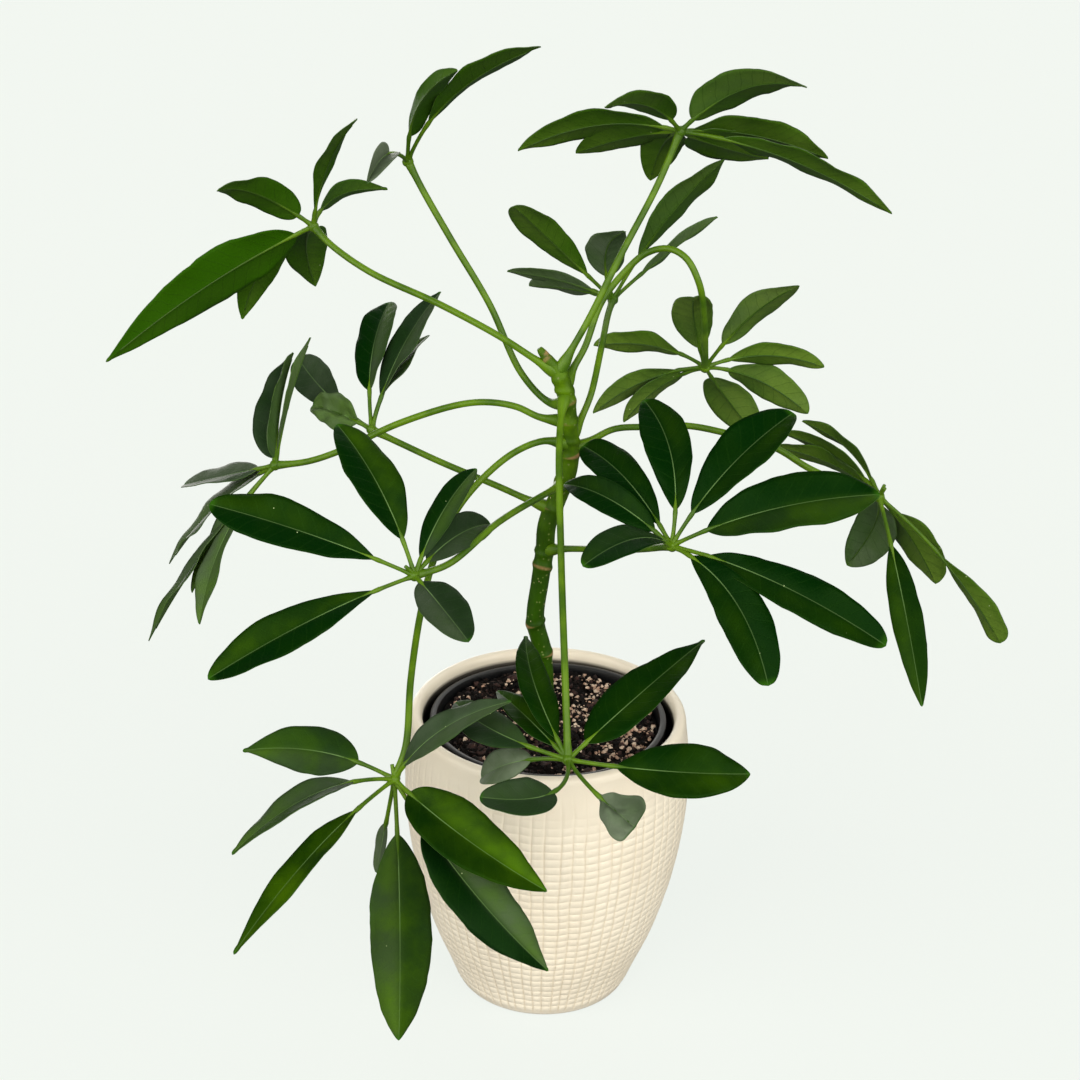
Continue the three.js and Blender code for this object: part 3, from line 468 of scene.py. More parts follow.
@dataclass(frozen=True)
class LeafSkin:
    """The glossy upper face of a leathery blade under its waxy cuticle, dark green over a net of sunken
    veins.
    """

    name: str = "leaf_upper_skin"
    old: str = "#021E02"
    young: str = "#426402"
    vein: str = "#2C5216"
    tip: str = "#2A5808"
    # Grey painted over the green as painted sheen
    painted_sheen_colour: str = "#66725E"
    rib: str = "#74965A"
    gleam: str = "#8FDB76"
    dot: str = "#A9BC86"
    shown: float = 0.06
    roughness: float = 0.36
    patchiness: float = 0.42
    relief_mm: float = 0.1
    sunken: bool = True
    cloud_mm: float = 17.0
    net_mm: float = 2.2
    vein_spacing_mm: float = 7.5
    dot_spacing_mm: float = 7.0

    def build(self) -> Material:
        """Make the material.

        It reads three of the piece's own attributes. "blade" holds the share along the blade, the share
        across it and the leaflet's freshness, raised on the half that is painted paler as painted light.
        "span" holds the same two places in millimetres, and a number that is the leaflet's own.
        "painted_sheen" is how much grey is painted on it as painted sheen, for the bright room reflected in
        the gloss. The green gleam tints the highlights.

        Returns:
            The material.
        """
        shine = {"IOR": 1.42, "Specular IOR Level": 0.13, "Specular Tint": self.gleam}
        surface = Surface(self.name, shine)
        add = surface.add
        blade = add("Attribute", {"attribute_name": "blade"}).outputs["Vector"]
        span = add("Attribute", {"attribute_name": "span"}).outputs["Vector"]
        painted_sheen = add("Attribute", {"attribute_name": "painted_sheen"}).outputs["Fac"]
        along, across, fresh = add("SeparateXYZ", {0: blade}).outputs
        run, sideways, _ = add("SeparateXYZ", {0: span}).outputs
        off_middle = add("Math", UNSIGNED | {0: across})
        off_rib = add("Math", UNSIGNED | {0: sideways})
        cloud = add("TexNoise", {"Vector": span, "Scale": 1 / self.cloud_mm, "Detail": 4.0})

        # Green that ripens in patches, towards the tip and away from the margin, under a grey painted sheen
        # in patches
        low, high = 0.93 - self.patchiness, 0.93 + self.patchiness
        patches = add("MapRange", EASED | {0: cloud, 1: 0.3, 2: 0.7, 3: low, 4: high})
        towards_tip = add("MapRange", EASED | {0: along, 1: 0.2, 3: -0.25, 4: 0.4})
        ripened = add("Math", PLUS | {0: patches, 1: towards_tip})
        inward = add("MapRange", EASED | {0: off_middle, 1: 0.4, 3: 1.0, 4: 0.65})
        edged = add("Math", TIMES | {0: ripened, 1: inward})
        flecks = add("MapRange", EASED | {0: cloud, 1: 0.4, 2: 0.7, 4: 0.02})
        mottled = add("Math", TIMES_PLUS | {0: fresh, 1: edged, 2: flecks})
        body = add("Mix", COLOURS | {0: mottled, 6: self.old, 7: self.young})
        # Painted sheen: grey painted over the green in patches, for the reflection of the bright room
        thick = add("Math", TIMES | {0: painted_sheen, 1: painted_sheen})
        sheen_patches = add("MapRange", EASED | {0: cloud, 1: 0.3, 2: 0.7, 3: 1.0, 4: 0.5})
        sheen_share = add("Math", TIMES | {0: thick, 1: sheen_patches})
        sheen_painted = add("Mix", COLOURS | {0: sheen_share, 6: body, 7: self.painted_sheen_colour})

        # Side veins that lean forward from the rib, with a net of fine veins between them
        wander = add("MapRange", EASED | {0: cloud, 1: 0.2, 2: 0.8, 3: -1.6, 4: 1.6})
        leaning = add("Math", TIMES_PLUS | {0: off_rib, 1: -0.8, 2: run})
        slanted = add("Math", PLUS | {0: leaning, 1: wander})
        turns = add("Math", TIMES | {0: slanted, 1: FULL_TURN / self.vein_spacing_mm})
        waves = add("Math", {"operation": "COSINE", 0: turns})
        lateral = add("MapRange", EASED | {0: waves, 1: 0.95})
        cells = {"feature": "DISTANCE_TO_EDGE", "Vector": span, "Scale": 1 / self.net_mm}
        net = add("MapRange", EASED | {0: add("TexVoronoi", cells), 2: 0.16, 3: 1.0, 4: 0.0})
        lateral_shown = add("Math", TIMES | {0: lateral, 1: self.shown})
        veined = add("Mix", COLOURS | {0: lateral_shown, 6: sheen_painted, 7: self.vein})
        net_shown = add("Math", TIMES | {0: net, 1: 0.3 * self.shown})
        meshed = add("Mix", COLOURS | {0: net_shown, 6: veined, 7: self.vein})

        # The midrib, which pales towards the base, then the tip and margin, then small pale spots
        rib = add("MapRange", EASED | {0: off_rib, 1: 0.1, 2: 0.34, 3: 1.0, 4: 0.0})
        paling = add("MapRange", EASED | {0: along, 2: 0.6, 3: 0.8, 4: 0.22})
        rib_shown = add("Math", TIMES | {0: rib, 1: paling})
        ribbed = add("Mix", COLOURS | {0: rib_shown, 6: meshed, 7: self.rib})
        at_tip = add("MapRange", EASED | {0: along, 1: 0.95, 4: 0.7})
        at_margin = add("MapRange", EASED | {0: off_middle, 1: 0.96, 4: 0.2})
        at_end = add("Math", {"operation": "MAXIMUM", 0: at_tip, 1: at_margin})
        tipped = add("Mix", COLOURS | {0: at_end, 6: ribbed, 7: self.tip})
        dots = add("TexVoronoi", {"Vector": span, "Scale": 1 / self.dot_spacing_mm})
        near = add("MapRange", EASED | {0: dots, 1: 0.03, 2: 0.055, 3: 1.0, 4: 0.0})
        chance = add("Math", TIMES_PLUS | {0: fresh, 1: 0.22, 2: dots.outputs["Color"]})
        some = add("MapRange", EASED | {0: chance, 1: 0.7, 2: 0.75})
        spotted = add("Math", TIMES | {0: near, 1: some})
        colour = add("Mix", COLOURS | {0: spotted, 6: tipped, 7: self.dot})

        dulled = add("Math", TIMES_PLUS | {0: painted_sheen, 1: 0.12, 2: self.roughness})
        feed(surface.shader, {"Roughness": dulled})
        fine = add("Math", TIMES | {0: net, 1: 0.4})
        relief = add("Math", TIMES_PLUS | {0: lateral, 1: 0.8, 2: fine})
        return surface.finish(colour, relief, 0.6, self.relief_mm, self.sunken)


@dataclass(frozen=True)
class LeafUnderside(LeafSkin):
    """The matte lower face of a leathery blade, paler, with its net of veins standing out."""

    name: str = "leaf_lower_skin"
    old: str = "#244A02"
    young: str = "#5A7628"
    vein: str = "#1F3808"
    tip: str = "#3C6012"
    # Grey painted over the green as painted sheen
    painted_sheen_colour: str = "#66715F"
    rib: str = "#27410D"
    shown: float = 0.3
    roughness: float = 0.5
    patchiness: float = 0.2
    relief_mm: float = 0.12
    sunken: bool = False


# Lines, skins and pieces


def smooth_points(knots: Sequence[Vector], per_gap: int) -> list[Vector]:
    """Draw a smooth curve through knots, with the bends kept tight where the knots stand close.

    Args:
        knots: the points that the curve passes.
        per_gap: how many points there are from one knot to the next.

    Returns:
        Points along the curve.
    """
    padded = [2 * knots[0] - knots[1], *knots, 2 * knots[-1] - knots[-2]]
    points = [knots[0].copy()]
    for before, start, end, after in zip(padded, padded[1:], padded[2:], padded[3:]):
        in_gap, gap, out_gap = (
            max((b - a).length ** 0.5, 1e-4) for a, b in ((before, start), (start, end), (end, after))
        )
        leaving = (start - before) / in_gap - (end - before) / (in_gap + gap) + (end - start) / gap
        arriving = (end - start) / gap - (after - start) / (gap + out_gap) + (after - end) / out_gap
        handles = (start + leaving * gap / 3, end - arriving * gap / 3)
        points += geometry.interpolate_bezier(start, *handles, end, per_gap + 1)[1:]
    return points


@dataclass
class Line:
    """A smooth line through knots, with a cross frame carried along it without a twist."""

    knots: Sequence[Vector]
    per_gap: int = 16

    def __post_init__(self) -> None:
        """Draw the line and its frames."""
        self.points = smooth_points(self.knots, self.per_gap)
        self.reached = [0.0]
        for before, after in zip(self.points, self.points[1:]):
            self.reached.append(self.reached[-1] + (after - before).length)
        self.length = self.reached[-1]
        self.ahead = [
            (self.points[min(i + 1, len(self.points) - 1)] - self.points[max(i - 1, 0)]).normalized()
            for i in range(len(self.points))
        ]
        across = self.ahead[0].orthogonal().normalized()
        self.across = []
        for ahead in self.ahead:
            across = (across - ahead * across.dot(ahead)).normalized()
            self.across.append(across)

    def at(self, share: float) -> tuple[Vector, Vector, Vector]:
        """Find a place on the line.

        Args:
            share: how far along it is, from 0 to 1.

        Returns:
            The point, and two directions that stand across the line there.
        """
        length = clamp(share) * self.length
        after = int(clamp(bisect_left(self.reached, length), 1, len(self.points) - 1))
        before = after - 1
        part = (length - self.reached[before]) / max(self.reached[after] - self.reached[before], 1e-9)
        ahead = self.ahead[before].lerp(self.ahead[after], part).normalized()
        across = self.across[before].lerp(self.across[after], part)
        across = (across - ahead * across.dot(ahead)).normalized()
        return self.points[before].lerp(self.points[after], part), across, ahead.cross(across)


def roll_grid(
    bm: BMesh,
    around: int,
    along: int,
    shape: Callable[[BMVert, int, int], None],
    slot: Callable[[int, int], int] = lambda turn, step: 0,
) -> None:
    """Roll a grid into a skin that is closed round its seam and at both ends.

    Args:
        bm: the bmesh that gets it.
        around: cells round the skin.
        along: cells along it.
        shape: puts a vertex in its place, from its number round the skin and along it.
        slot: gives a cell's material slot in the same way.
    """
    verts = bmesh.ops.create_grid(bm, x_segments=around, y_segments=along, size=0.5)["verts"]
    for face in {face for vert in verts for face in vert.link_faces}:
        middle = face.calc_center_median()
        face.material_index = slot(int((middle.x + 0.5) * around), int((middle.y + 0.5) * along))
    for vert in verts:
        shape(vert, round((vert.co.x + 0.5) * around) % around, round((vert.co.y + 0.5) * along))
    bmesh.ops.remove_doubles(bm, verts=verts, dist=1e-3)
    rims = {edge for vert in verts if vert.is_valid for edge in vert.link_edges if edge.is_boundary}
    if rims:
        slots = {face.material_index for edge in rims for face in edge.link_faces}
        for face in bmesh.ops.holes_fill(bm, edges=list(rims), sides=0)["faces"]:
            face.material_index = max(slots)


def add_tube(
    bm: BMesh,
    line: Line,
    radius: Callable[[float, float], float],
    steps: int,
    sides: int,
    slot: int = 0,
    mark: Callable[[BMVert, float, float], None] = lambda vert, share, angle: None,
) -> None:
    """Draw a round skin along a line.

    Args:
        bm: the bmesh that gets it.
        line: the middle of the tube.
        radius: the radius at a share of the length and at a turn in radians.
        steps: cells along it.
        sides: cells round it.
        slot: its material slot.
        mark: sets a vertex's own values, from its share of the length and its turn.
    """

    def shape(vert: BMVert, turn: int, step: int) -> None:
        """Put a vertex on the tube.

        Args:
            vert: the vertex.
            turn: its number round the tube.
            step: its number along it.
        """
        angle = FULL_TURN * turn / sides
        centre, across, over = line.at(step / steps)
        reach = radius(step / steps, angle)
        vert.co = centre + (across * math.cos(angle) + over * math.sin(angle)) * reach
        mark(vert, step / steps, angle)

    roll_grid(bm, sides, steps, shape, lambda turn, step: slot)


def pour(batch: BMesh, bm: BMesh) -> None:
    """Put a batch of small shapes into a bmesh.

    Args:
        batch: the shapes, which are freed.
        bm: the bmesh that gets them.
    """
    mesh = bpy.data.meshes.new("batch")
    batch.to_mesh(mesh)
    batch.free()
    bm.from_mesh(mesh)
    bpy.data.meshes.remove(mesh)


def cut_away(piece: bpy.types.Object, drills: BMesh) -> None:
    """Take a shape in millimetres out of a piece.

    Args:
        piece: the piece, whose mesh is renewed.
        drills: the shape, which is freed.
    """
    bmesh.ops.scale(drills, vec=Vector((MM, MM, MM)), verts=drills.verts)
    mesh = bpy.data.meshes.new("drills")
    drills.to_mesh(mesh)
    drills.free()
    cutter = bpy.data.objects.new("drills", mesh)
    bpy.context.scene.collection.objects.link(cutter)
    cut = piece.modifiers.new("drains", "BOOLEAN")
    cut.object = cutter
    cut.operation = "DIFFERENCE"
    bpy.context.view_layer.update()
    finished = bpy.data.meshes.new_from_object(piece.evaluated_get(bpy.context.evaluated_depsgraph_get()))
    piece.modifiers.clear()
    piece.data = finished
    bpy.data.objects.remove(cutter)


def piece_from(
    bm: BMesh,
    name: str,
    finishes: Sequence[Material],
    node: str,
    crease: float = 180.0,
) -> bpy.types.Object:
    """Turn a bmesh in millimetres into a finished piece in metres.

    Args:
        bm: the shape, which is freed.
        name: the piece's name.
        finishes: its materials, in the order of its material slots.
        node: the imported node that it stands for.
        crease: edges sharper than this many degrees stay sharp.

    Returns:
        The piece.
    """
    bmesh.ops.scale(bm, vec=Vector((MM, MM, MM)), verts=bm.verts)
    bmesh.ops.recalc_face_normals(bm, faces=bm.faces)
    for face in bm.faces:
        face.smooth = True
    mesh = bpy.data.meshes.new(name)
    bm.to_mesh(mesh)
    bm.free()
    for finish in finishes:
        mesh.materials.append(finish)
    if crease < 180:
        mesh.set_sharp_from_angle(angle=math.radians(crease))
    piece = bpy.data.objects.new(name, mesh)
    bpy.context.scene.collection.objects.link(piece)
    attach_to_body(piece, BODY)
    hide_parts(node)
    LOG.info("%s: %d triangles", name, sum(len(face.vertices) - 2 for face in mesh.polygons))
    return piece


# Pots


class Ring(NamedTuple):
    """One ring of the cover pot, with how much relief it has and how high up its row of tiles it stands."""

    radius: float
    height: float
    relief: float = 0.0
    cut: float = 0.0


@dataclass
class CoverPot:
    """The cream stoneware pot with its net of soft tiles.

    Drift, wander and stagger say how unevenly the tiles stand: how far a groove lies off its place, in
    columns, how far it bends on its way up, and how far a row steps up or down, in millimetres.
    """

    side: tuple[tuple[float, float], ...] = (
        (48.5, 4), (53, 16), (61.5, 38), (70.5, 72), (75, 102), (76, 122), (75.1, 147), (73.6, 159.5),
    )
    foot: tuple[tuple[float, float], ...] = (
        (0, 1.0), (18, 1.0), (37, 1.0), (38.4, 0.7), (39.2, 0.2), (40.2, 0), (44.6, 0), (45.8, 0.2),
        (46.8, 0.8), (47.5, 1.7),
    )
    lip: tuple[tuple[float, float], ...] = (
        (73.6, 159.6), (73.5, 160.7), (72.6, 163.3), (70.4, 164.5), (68.4, 163.9), (67.3, 161.9), (67.1, 158),
    )
    inside: tuple[float, ...] = (155, 151, 138, 120, 92, 66, 40, 26)
    wall: float = 7.5
    floor: float = 12.0
    foot_ring: tuple[int, int] = (3, 8)
    # The last rings, the inside wall, are painted near black below this height as painted shade
    shaded_rings: int = 18
    shade_top: float = 160.4
    columns: int = 68
    rows: int = 31
    relief_bottom: float = 4.0
    relief_top: float = 146.6
    flatter_from: float = 122.0
    flatter_over: float = 26.0
    fade_rings: int = 8
    fade_step: float = 1.5
    depth: float = 0.5
    groove: float = 0.85
    sag: float = 0.1
    drift: float = 0.16
    wander: float = 0.12
    stagger: float = 0.5
    column_cuts: tuple[float, ...] = (0.0, 0.05, 0.12, 0.3, 0.7, 0.88, 0.95)
    row_cuts: tuple[float, ...] = (0.0, 0.1, 0.2, 0.8, 0.9)
    seed: int = 5

    def __post_init__(self) -> None:
        """Draw the rings and the uneven stand of the tiles."""
        self.side_points = smooth_points([Vector((radius, 0, height)) for radius, height in self.side], 24)
        self.rings = self.outline()
        draw = random.Random(self.seed)
        self.drifts = [draw.uniform(-self.drift, self.drift) for _ in range(self.columns)]
        self.steps = [draw.uniform(-self.stagger, self.stagger) for _ in range(self.columns)]

    def side_radius(self, height: float) -> float:
        """Measure the side in the middle of the relief.

        Args:
            height: how high the place is.

        Returns:
            Its radius there.
        """
        points = self.side_points
        after = next((i for i, point in enumerate(points) if point.z >= height), len(points) - 1)
        before = max(after - 1, 0)
        gap = points[after].z - points[before].z
        share = clamp((height - points[before].z) / gap) if gap > 0 else 0.0
        return points[before].x + (points[after].x - points[before].x) * share

    def outline(self) -> list[Ring]:
        """List the rings from the underside over the lip to the floor.

        Returns:
            The rings. Those that fade the relief out have a cut below 0.
        """
        rings = [Ring(radius, height) for radius, height in self.foot]
        row = (self.relief_top - self.relief_bottom) / self.rows
        for i in range(self.rows):
            for cut in self.row_cuts:
                height = self.relief_bottom + (i + cut) * row
                relief = 1 - 0.75 * smooth((height - self.flatter_from) / self.flatter_over)
                rings.append(Ring(self.side_radius(height), height, relief, cut))
        for step in range(self.fade_rings):
            height = self.relief_top + self.fade_step * step
            rings.append(Ring(self.side_radius(height), height, 1 - step / (self.fade_rings - 1), -1.0))
        lip = smooth_points([Vector((radius, 0, height)) for radius, height in self.lip], 4)
        rings += [Ring(point.x, point.z) for point in lip]
        rings += [Ring(self.side_radius(height) - self.wall, height) for height in self.inside]
        low, floor = self.side_radius(self.floor) - self.wall, self.floor
        rings += [Ring(low, floor + 5), Ring(low - 1.4, floor + 1.6), Ring(low - 5, floor)]
        rings += [Ring(low * 0.5, floor), Ring(0, floor)]
        return rings

    def groove_at(self, column: int, height: float) -> float:
        """Find the groove left of a column.

        Args:
            column: the column's number.
            height: how high the place is.

        Returns:
            The groove's turn round the pot, in columns.
        """
        number = column % self.columns
        bend = noise.noise(Vector((number * 7.3, height / 19, 4.1)))
        return column + self.drifts[number] + self.wander * bend

    def tile_at(self, ring: Ring, column: int, share: float) -> tuple[float, float, float, float]:
        """Find a place on the tiles.

        Args:
            ring: its ring.
            column: its column.
            share: how far across the column it is, from 0 to 1.

        Returns:
            Its radius, height and turn in columns, and from 0 in a groove to 1 on a tile what it is.
        """
        radius, height, relief, cut = ring
        turn = self.groove_at(column, height) * (1 - share) + self.groove_at(column + 1, height) * share
        beside = smooth(min(share, 1 - share) * FULL_TURN * radius / self.columns / self.groove)
        left, right = (self.steps[number % self.columns] for number in (column, column + 1))
        lean = left * (1 - share) + right * share - self.sag * 4 * share * (1 - share)
        lean *= clamp((height - self.relief_bottom - 2) / 8) * clamp((self.relief_top + 8 - height) / 10)
        height += lean
        swell = noise.noise(Vector((column * 1.7, height / 4.5, 9.0)))
        if cut < 0:
            rise = self.depth * (0.5 * beside * relief + 0.1 * swell)
            shown = 0.55 + 0.45 * beside
        else:
            above = smooth(min(cut, 1 - cut) / 0.2)
            tile = beside * (0.25 + 0.75 * above) * (0.9 + 0.25 * swell)
            rise = self.depth * (relief * tile + (1 - relief) * 0.5 * beside)
            shown = 1 - relief * (1 - beside * (0.5 + 0.5 * above))
        return radius + (rise - 0.3 * self.depth), height, turn, shown

    def build(self, glaze: Material, bare: Material) -> bpy.types.Object:
        """Make the pot.

        Args:
            glaze: the finish all over.
            bare: the finish of the foot ring that stands on the shelf.

        Returns:
            The piece.
        """
        bm = bmesh.new()
        relief = bm.verts.layers.float.new("relief")
        painted_inside_shade = bm.verts.layers.float.new("painted_inside_shade")
        cuts = len(self.column_cuts)
        shaded_from = len(self.rings) - self.shaded_rings

        def shape(vert: BMVert, turn: int, step: int) -> None:
            """Put a vertex on the pot.

            Args:
                vert: the vertex.
                turn: its number round the skin.
                step: its number along it.
            """
            ring = self.rings[step]
            column, part = divmod(turn, cuts)
            radius, height, turned, shown = ring.radius, ring.height, turn / cuts, 1.0
            if ring.relief > 0:
                radius, height, turned, shown = self.tile_at(ring, column, self.column_cuts[part])
            angle = FULL_TURN * turned / self.columns
            vert.co = Vector((radius * math.cos(angle), radius * math.sin(angle), height))
            vert[relief] = shown
            # Painted shade fades in down the inside wall below the lip
            vert[painted_inside_shade] = smooth((self.shade_top - height) / 3) if step >= shaded_from else 0.0

        def slot(turn: int, step: int) -> int:
            """Bare clay on the foot ring, glaze everywhere else."""
            return 1 if self.foot_ring[0] <= step < self.foot_ring[1] else 0

        roll_grid(bm, self.columns * cuts, len(self.rings) - 1, shape, slot)
        return piece_from(bm, "ceramic_pot_glazed", [glaze, bare], "ceramic_pot")


@dataclass
class NurseryPot:
    """The thin black pot that the plant grew in, a little out of round, with a rolled rim and drain holes."""

    profile: tuple[tuple[float, float], ...] = (
        (0, 12.3), (30, 12.3), (37, 12.3), (38.4, 12.9), (39.1, 14.3), (45.8, 57), (52.6, 100), (60.4, 153.1),
        (60.7, 154.1), (62.3, 154.0), (62.6, 154.4), (62.9, 156.5), (63.0, 158.7), (62.6, 159.6),
        (61.7, 160.0), (60.4, 160.0), (59.6, 159.6), (59.3, 158.8), (59.25, 156.5), (59.0, 153.1),
        (51.2, 100), (44.4, 57), (37.6, 15.2), (36.6, 13.9), (30, 13.7), (0, 13.7),
    )
    hole_radius: float = 4.5
    hole_circle: float = 24.0
    holes: int = 6
    bent_from: float = 150.0
    bend: float = 0.004
    ripple: float = 0.25

    def build(self, plastic: Material) -> bpy.types.Object:
        """Make the pot.

        Args:
            plastic: its finish.

        Returns:
            The piece.
        """
        bm = bmesh.new()
        verts = [bm.verts.new((radius, 0, height)) for radius, height in self.profile]
        edges = [bm.edges.new(pair) for pair in zip(verts, verts[1:])]
        bmesh.ops.spin(
            bm, geom=verts + edges, cent=(0, 0, 0), axis=(0, 0, 1), angle=FULL_TURN, steps=120, use_merge=True
        )
        bmesh.ops.remove_doubles(bm, verts=bm.verts, dist=1e-3)
        for vert in (vert for vert in bm.verts if vert.co.z > self.bent_from):
            angle = math.atan2(vert.co.y, vert.co.x)
            vert.co *= 1 + self.bend * math.sin(2 * angle + 0.7)
            vert.co.z += self.ripple * math.sin(3 * angle)
        drills = bmesh.new()
        for i in range(self.holes):
            turn = Matrix.Rotation(FULL_TURN * i / self.holes, 4, "Z")
            bmesh.ops.create_cone(
                drills,
                cap_ends=True,
                segments=32,
                radius1=self.hole_radius,
                radius2=self.hole_radius,
                depth=9,
                matrix=turn @ Matrix.Translation((self.hole_circle, 0, 13)),
            )
        piece = piece_from(bm, "nursery_pot_moulded", [plastic], "nursery_pot", crease=40)
        cut_away(piece, drills)
        return piece


# Potting mix


@dataclass(frozen=True)
class Lumps:
    """Small lumps of one kind that lie on the mix.

    Sizes are the least and largest radius, and kept is how much of its height a lump keeps, from the least to
    the most. Detail says how finely a lump is cut, sink how deep it sits as a share of its size, and slots
    which finishes it may take.
    """

    count: int
    sizes: tuple[float, float]
    kept: tuple[float, float]
    detail: int
    sink: float
    slots: tuple[int, ...]


@dataclass
class PottingMix:
    """Peat and bark that fill the nursery pot, with pumice and bark lying on top."""

    edge: float = 58.3
    wall: tuple[tuple[float, float], ...] = (
        (0, 14.0), (20, 14.0), (35.4, 14.0), (38.0, 20.0), (44.2, 60), (50.8, 102), (57.0, 143), (58.3, 152),
    )
    rings: int = 46
    around: int = 132
    crumb_layers: int = 7
    crumbs: Lumps = Lumps(520, (0.5, 1.9), (0.6, 1.0), 1, 0.1, (0, 0, 0, 1))
    grit: Lumps = Lumps(1050, (0.35, 1.6), (0.5, 0.95), 1, -0.3, (2,))
    chips: Lumps = Lumps(60, (1.2, 3.2), (0.15, 0.35), 2, -0.1, (1,))
    seed: int = 11

    def bed(self, bm: BMesh) -> None:
        """Draw the body of the mix with its rough top.

        Args:
            bm: the bmesh that gets it.
        """
        below = len(self.wall)
        top = [(self.edge * (1 - i / self.rings) ** 0.92, 0.0) for i in range(self.rings + 1)]
        rings = [*self.wall, *top]

        def shape(vert: BMVert, turn: int, step: int) -> None:
            """Put a vertex on the mix.

            Args:
                vert: the vertex.
                turn: its number round the skin.
                step: its number along it.
            """
            radius, height = rings[step]
            angle = FULL_TURN * turn / self.around
            x, y = radius * math.cos(angle), radius * math.sin(angle)
            if step >= below:
                lumps = noise.fractal(Vector((x / 5.5, y / 5.5, 0.5)), 0.8, 2.2, 4)
                height = mix_height(x, y) + 0.9 * lumps - 0.7
                height -= 0.9 * smooth((radius - self.edge + 4) / 4)
            vert.co = Vector((x, y, height))

        roll_grid(bm, self.around, len(rings) - 1, shape)

    def scatter(
        self,
        bm: BMesh,
        draw: random.Random,
        lumps: Lumps,
        spot: Callable[[random.Random], tuple[float, float]],
    ) -> None:
        """Lay lumps on the mix.

        Args:
            bm: the bmesh that gets them.
            draw: the seeded numbers.
            lumps: what they are.
            spot: gives a lump's place on the mix.
        """
        batch = bmesh.new()
        least, largest = lumps.sizes
        for _ in range(lumps.count):
            x, y = spot(draw)
            size = least + (largest - least) * draw.random() ** 2
            longer, flatter = draw.uniform(0.8, 1.5), draw.uniform(*lumps.kept)
            shape = Matrix.Diagonal((size * longer, size, size * flatter, 1))
            tilt = Matrix.Rotation(draw.uniform(-0.5, 0.5), 4, "X")
            tilt = tilt @ Matrix.Rotation(draw.uniform(-0.5, 0.5), 4, "Y")
            turn = Matrix.Rotation(draw.uniform(0, FULL_TURN), 4, "Z")
            place = Matrix.Translation((x, y, mix_height(x, y) - lumps.sink * size))
            slot = draw.choice(lumps.slots)
            away = Vector((x, y, size * 31))
            for vert in bmesh.ops.create_icosphere(batch, subdivisions=lumps.detail, radius=1.0)["verts"]:
                dent = 1 + 0.6 * noise.noise(vert.co * 1.3 + away) + 0.2 * noise.noise(vert.co * 3.1 + away)
                vert.co = place @ turn @ tilt @ shape @ (vert.co * dent)
                for face in vert.link_faces:
                    face.material_index = slot
        pour(batch, bm)

    def anywhere(self, draw: random.Random) -> tuple[float, float]:
        """Pick a place on the mix."""
        reach, angle = (self.edge - 2.2) * math.sqrt(draw.random()), draw.uniform(0, FULL_TURN)
        return reach * math.cos(angle), reach * math.sin(angle)

    def mostly_right(self, draw: random.Random) -> tuple[float, float]:
        """Pick a place on the mix, in clumps and more often behind the trunk and to its right.

        Args:
            draw: the seeded numbers.

        Returns:
            The place.
        """
        for _ in range(12):
            x, y = self.anywhere(draw)
            wanted = 0.2 + 0.55 * smooth((x + 30) / 60) + 0.35 * smooth((y + 20) / 60)
            clump = smooth(0.45 + 1.6 * noise.noise(Vector((x / 8, y / 8, 2.5))))
            if draw.random() < wanted * clump:
                break
        return x, y

    def build(self, mix: Material, bark: Material, pumice: Material) -> bpy.types.Object:
        """Make the mix.

        Args:
            mix: the finish of the peat.
            bark: the finish of the bark.
            pumice: the finish of the stones.

        Returns:
            The piece.
        """
        draw = random.Random(self.seed)
        bm = bmesh.new()
        self.bed(bm)
        for _ in range(self.crumb_layers):
            self.scatter(bm, draw, self.crumbs, self.anywhere)
        self.scatter(bm, draw, self.grit, self.mostly_right)
        self.scatter(bm, draw, self.chips, self.anywhere)
        finishes = [mix, bark, pumice]
        return piece_from(bm, "potting_mix_loose", finishes, "potting_mix", crease=60)


# Trunk


